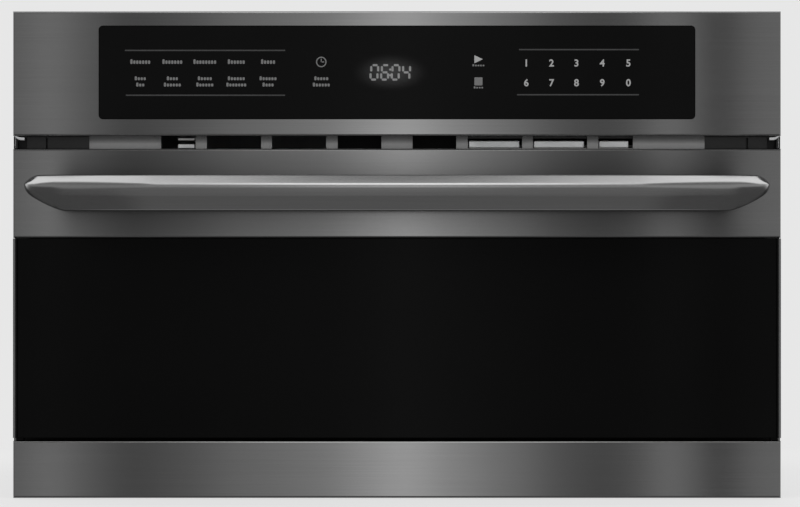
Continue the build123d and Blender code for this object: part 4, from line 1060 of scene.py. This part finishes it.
punched_dark = grained(
    "punched_dark", grey(0.0015), grey(0.0035), 0.6, 0.9, fine=600.0, broad=40.0, Specular_IOR_Level=0.1
)
punch_tree = punching()
hole_clear = 0.0002
screen_sheet = 0.0008
screen_pitch = 0.0034
screen_radius = 0.0012
screen_margin = 0.012
screen_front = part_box("door_screen")[0].y
window_low, window_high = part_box("door_window")
window_middle = (window_low + window_high) / 2
wide, tall = [window_high[axis] - window_low[axis] - 2 * screen_margin for axis in (0, 2)]
screen = {
    "Columns": int(wide / screen_pitch),
    "Rows": 2 * int(tall / (screen_pitch * 2 * math.sin(math.pi / 3))),
    "Pitch": screen_pitch,
    "Radius": screen_radius,
    "Material": punched_dark,
}
screen_back = screen_front + screen_sheet + hole_clear
stood = Matrix.Translation((window_middle.x - screen_pitch / 4, screen_back, window_middle.z)) @ upright
punched("screen_holes", punch_tree, screen, stood, "door")

wrapper_low, wrapper_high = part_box("cavity_wrapper")
wall_inside = wrapper_high.x - screen_sheet
air_place = (wall_inside - hole_clear, wrapper_low.y + 0.085, wrapper_high.z - 0.062)
air = {"Columns": 16, "Rows": 12, "Pitch": 0.0062, "Radius": 0.0020, "Material": punched_dark}
stood = Matrix.Translation(air_place) @ Matrix.Rotation(math.pi / 2, 4, "Z") @ upright
punched("air_holes", punch_tree, air, stood, "chassis")

# Turntable tray: one piece of pressed clear glass, turned. The rim curves up to a rounded lip, and
# three lugs underneath take the drive's wings.
tray_low, tray_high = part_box("turntable_tray")
tray_radius = (tray_high.x - tray_low.x) / 2
tray_centre = ((tray_high.x + tray_low.x) / 2, (tray_high.y + tray_low.y) / 2)
rim_top = 0.011
tray_base = tray_high.z - rim_top
plate_glass = 0.0046
lug_size = (0.005, 0.0045, 0.0048)
lug_reach = 0.017
lug_angle = 150
rim_flat = tray_radius - 0.031
tray_profile = [
    (0.0, 0.0), (rim_flat - 0.010, 0.0), (rim_flat, 0.0004),
    (tray_radius - 0.018, 0.0042), (tray_radius - 0.006, 0.0082), (tray_radius - 0.0012, 0.0093),
    (tray_radius, 0.0100), (tray_radius - 0.0003, 0.0107), (tray_radius - 0.0012, rim_top),
    (tray_radius - 0.0040, 0.0107), (tray_radius - 0.0160, 0.0078), (rim_flat + 0.004, 0.0055),
    (rim_flat - 0.004, plate_glass), (tray_radius * 0.56, plate_glass),
    (tray_radius * 0.55, plate_glass - 0.0008), (tray_radius * 0.53, plate_glass - 0.0008),
    (tray_radius * 0.52, plate_glass), (0.0, plate_glass),
]
turns = 128
support = 0.0003
outline = tray_profile[:1]
for first, second in zip(tray_profile, tray_profile[1:]):
    step = Vector(second) - Vector(first)
    if step.length > 0.004:
        share = support / step.length
        outline += [tuple(Vector(first) + step * part) for part in (share, 1 - share)]
    outline.append(second)
bm = bmesh.new()
columns = []
for number in range(turns):
    angle = 2 * math.pi * number / turns
    columns.append([
        bm.verts.new((
            tray_centre[0] + radius * math.cos(angle),
            tray_centre[1] + radius * math.sin(angle),
            tray_base + rise,
        ))
        for radius, rise in outline
    ])
for number in range(turns):
    one, two = columns[number - 1], columns[number]
    for step in range(len(outline) - 1):
        bm.faces.new((one[step], two[step], two[step + 1], one[step + 1]))
bmesh.ops.remove_doubles(bm, verts=bm.verts, dist=1e-6)
lug_low = (lug_reach - lug_size[0], -lug_size[1], -lug_size[2] * 1.5)
lug_high = (lug_reach + lug_size[0], lug_size[1], lug_size[2] * 0.5)
for number in range(3):
    lug = rolled_bar(bm, lug_low, lug_high, 0.0008, 2)
    turned = Matrix.Rotation(math.radians(lug_angle + 120 * number), 3, "Z")
    bmesh.ops.rotate(bm, verts=lug, cent=(0, 0, 0), matrix=turned)
    bmesh.ops.translate(bm, verts=lug, vec=(*tray_centre, tray_base))
material = clear_glass("pressed_glass", (0.93, 0.96, 0.95, 1.0), 0.05)
tray = make_piece("glass_tray", bm, material, "turntable", smooth=True)
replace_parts(tray, "turntable_tray")
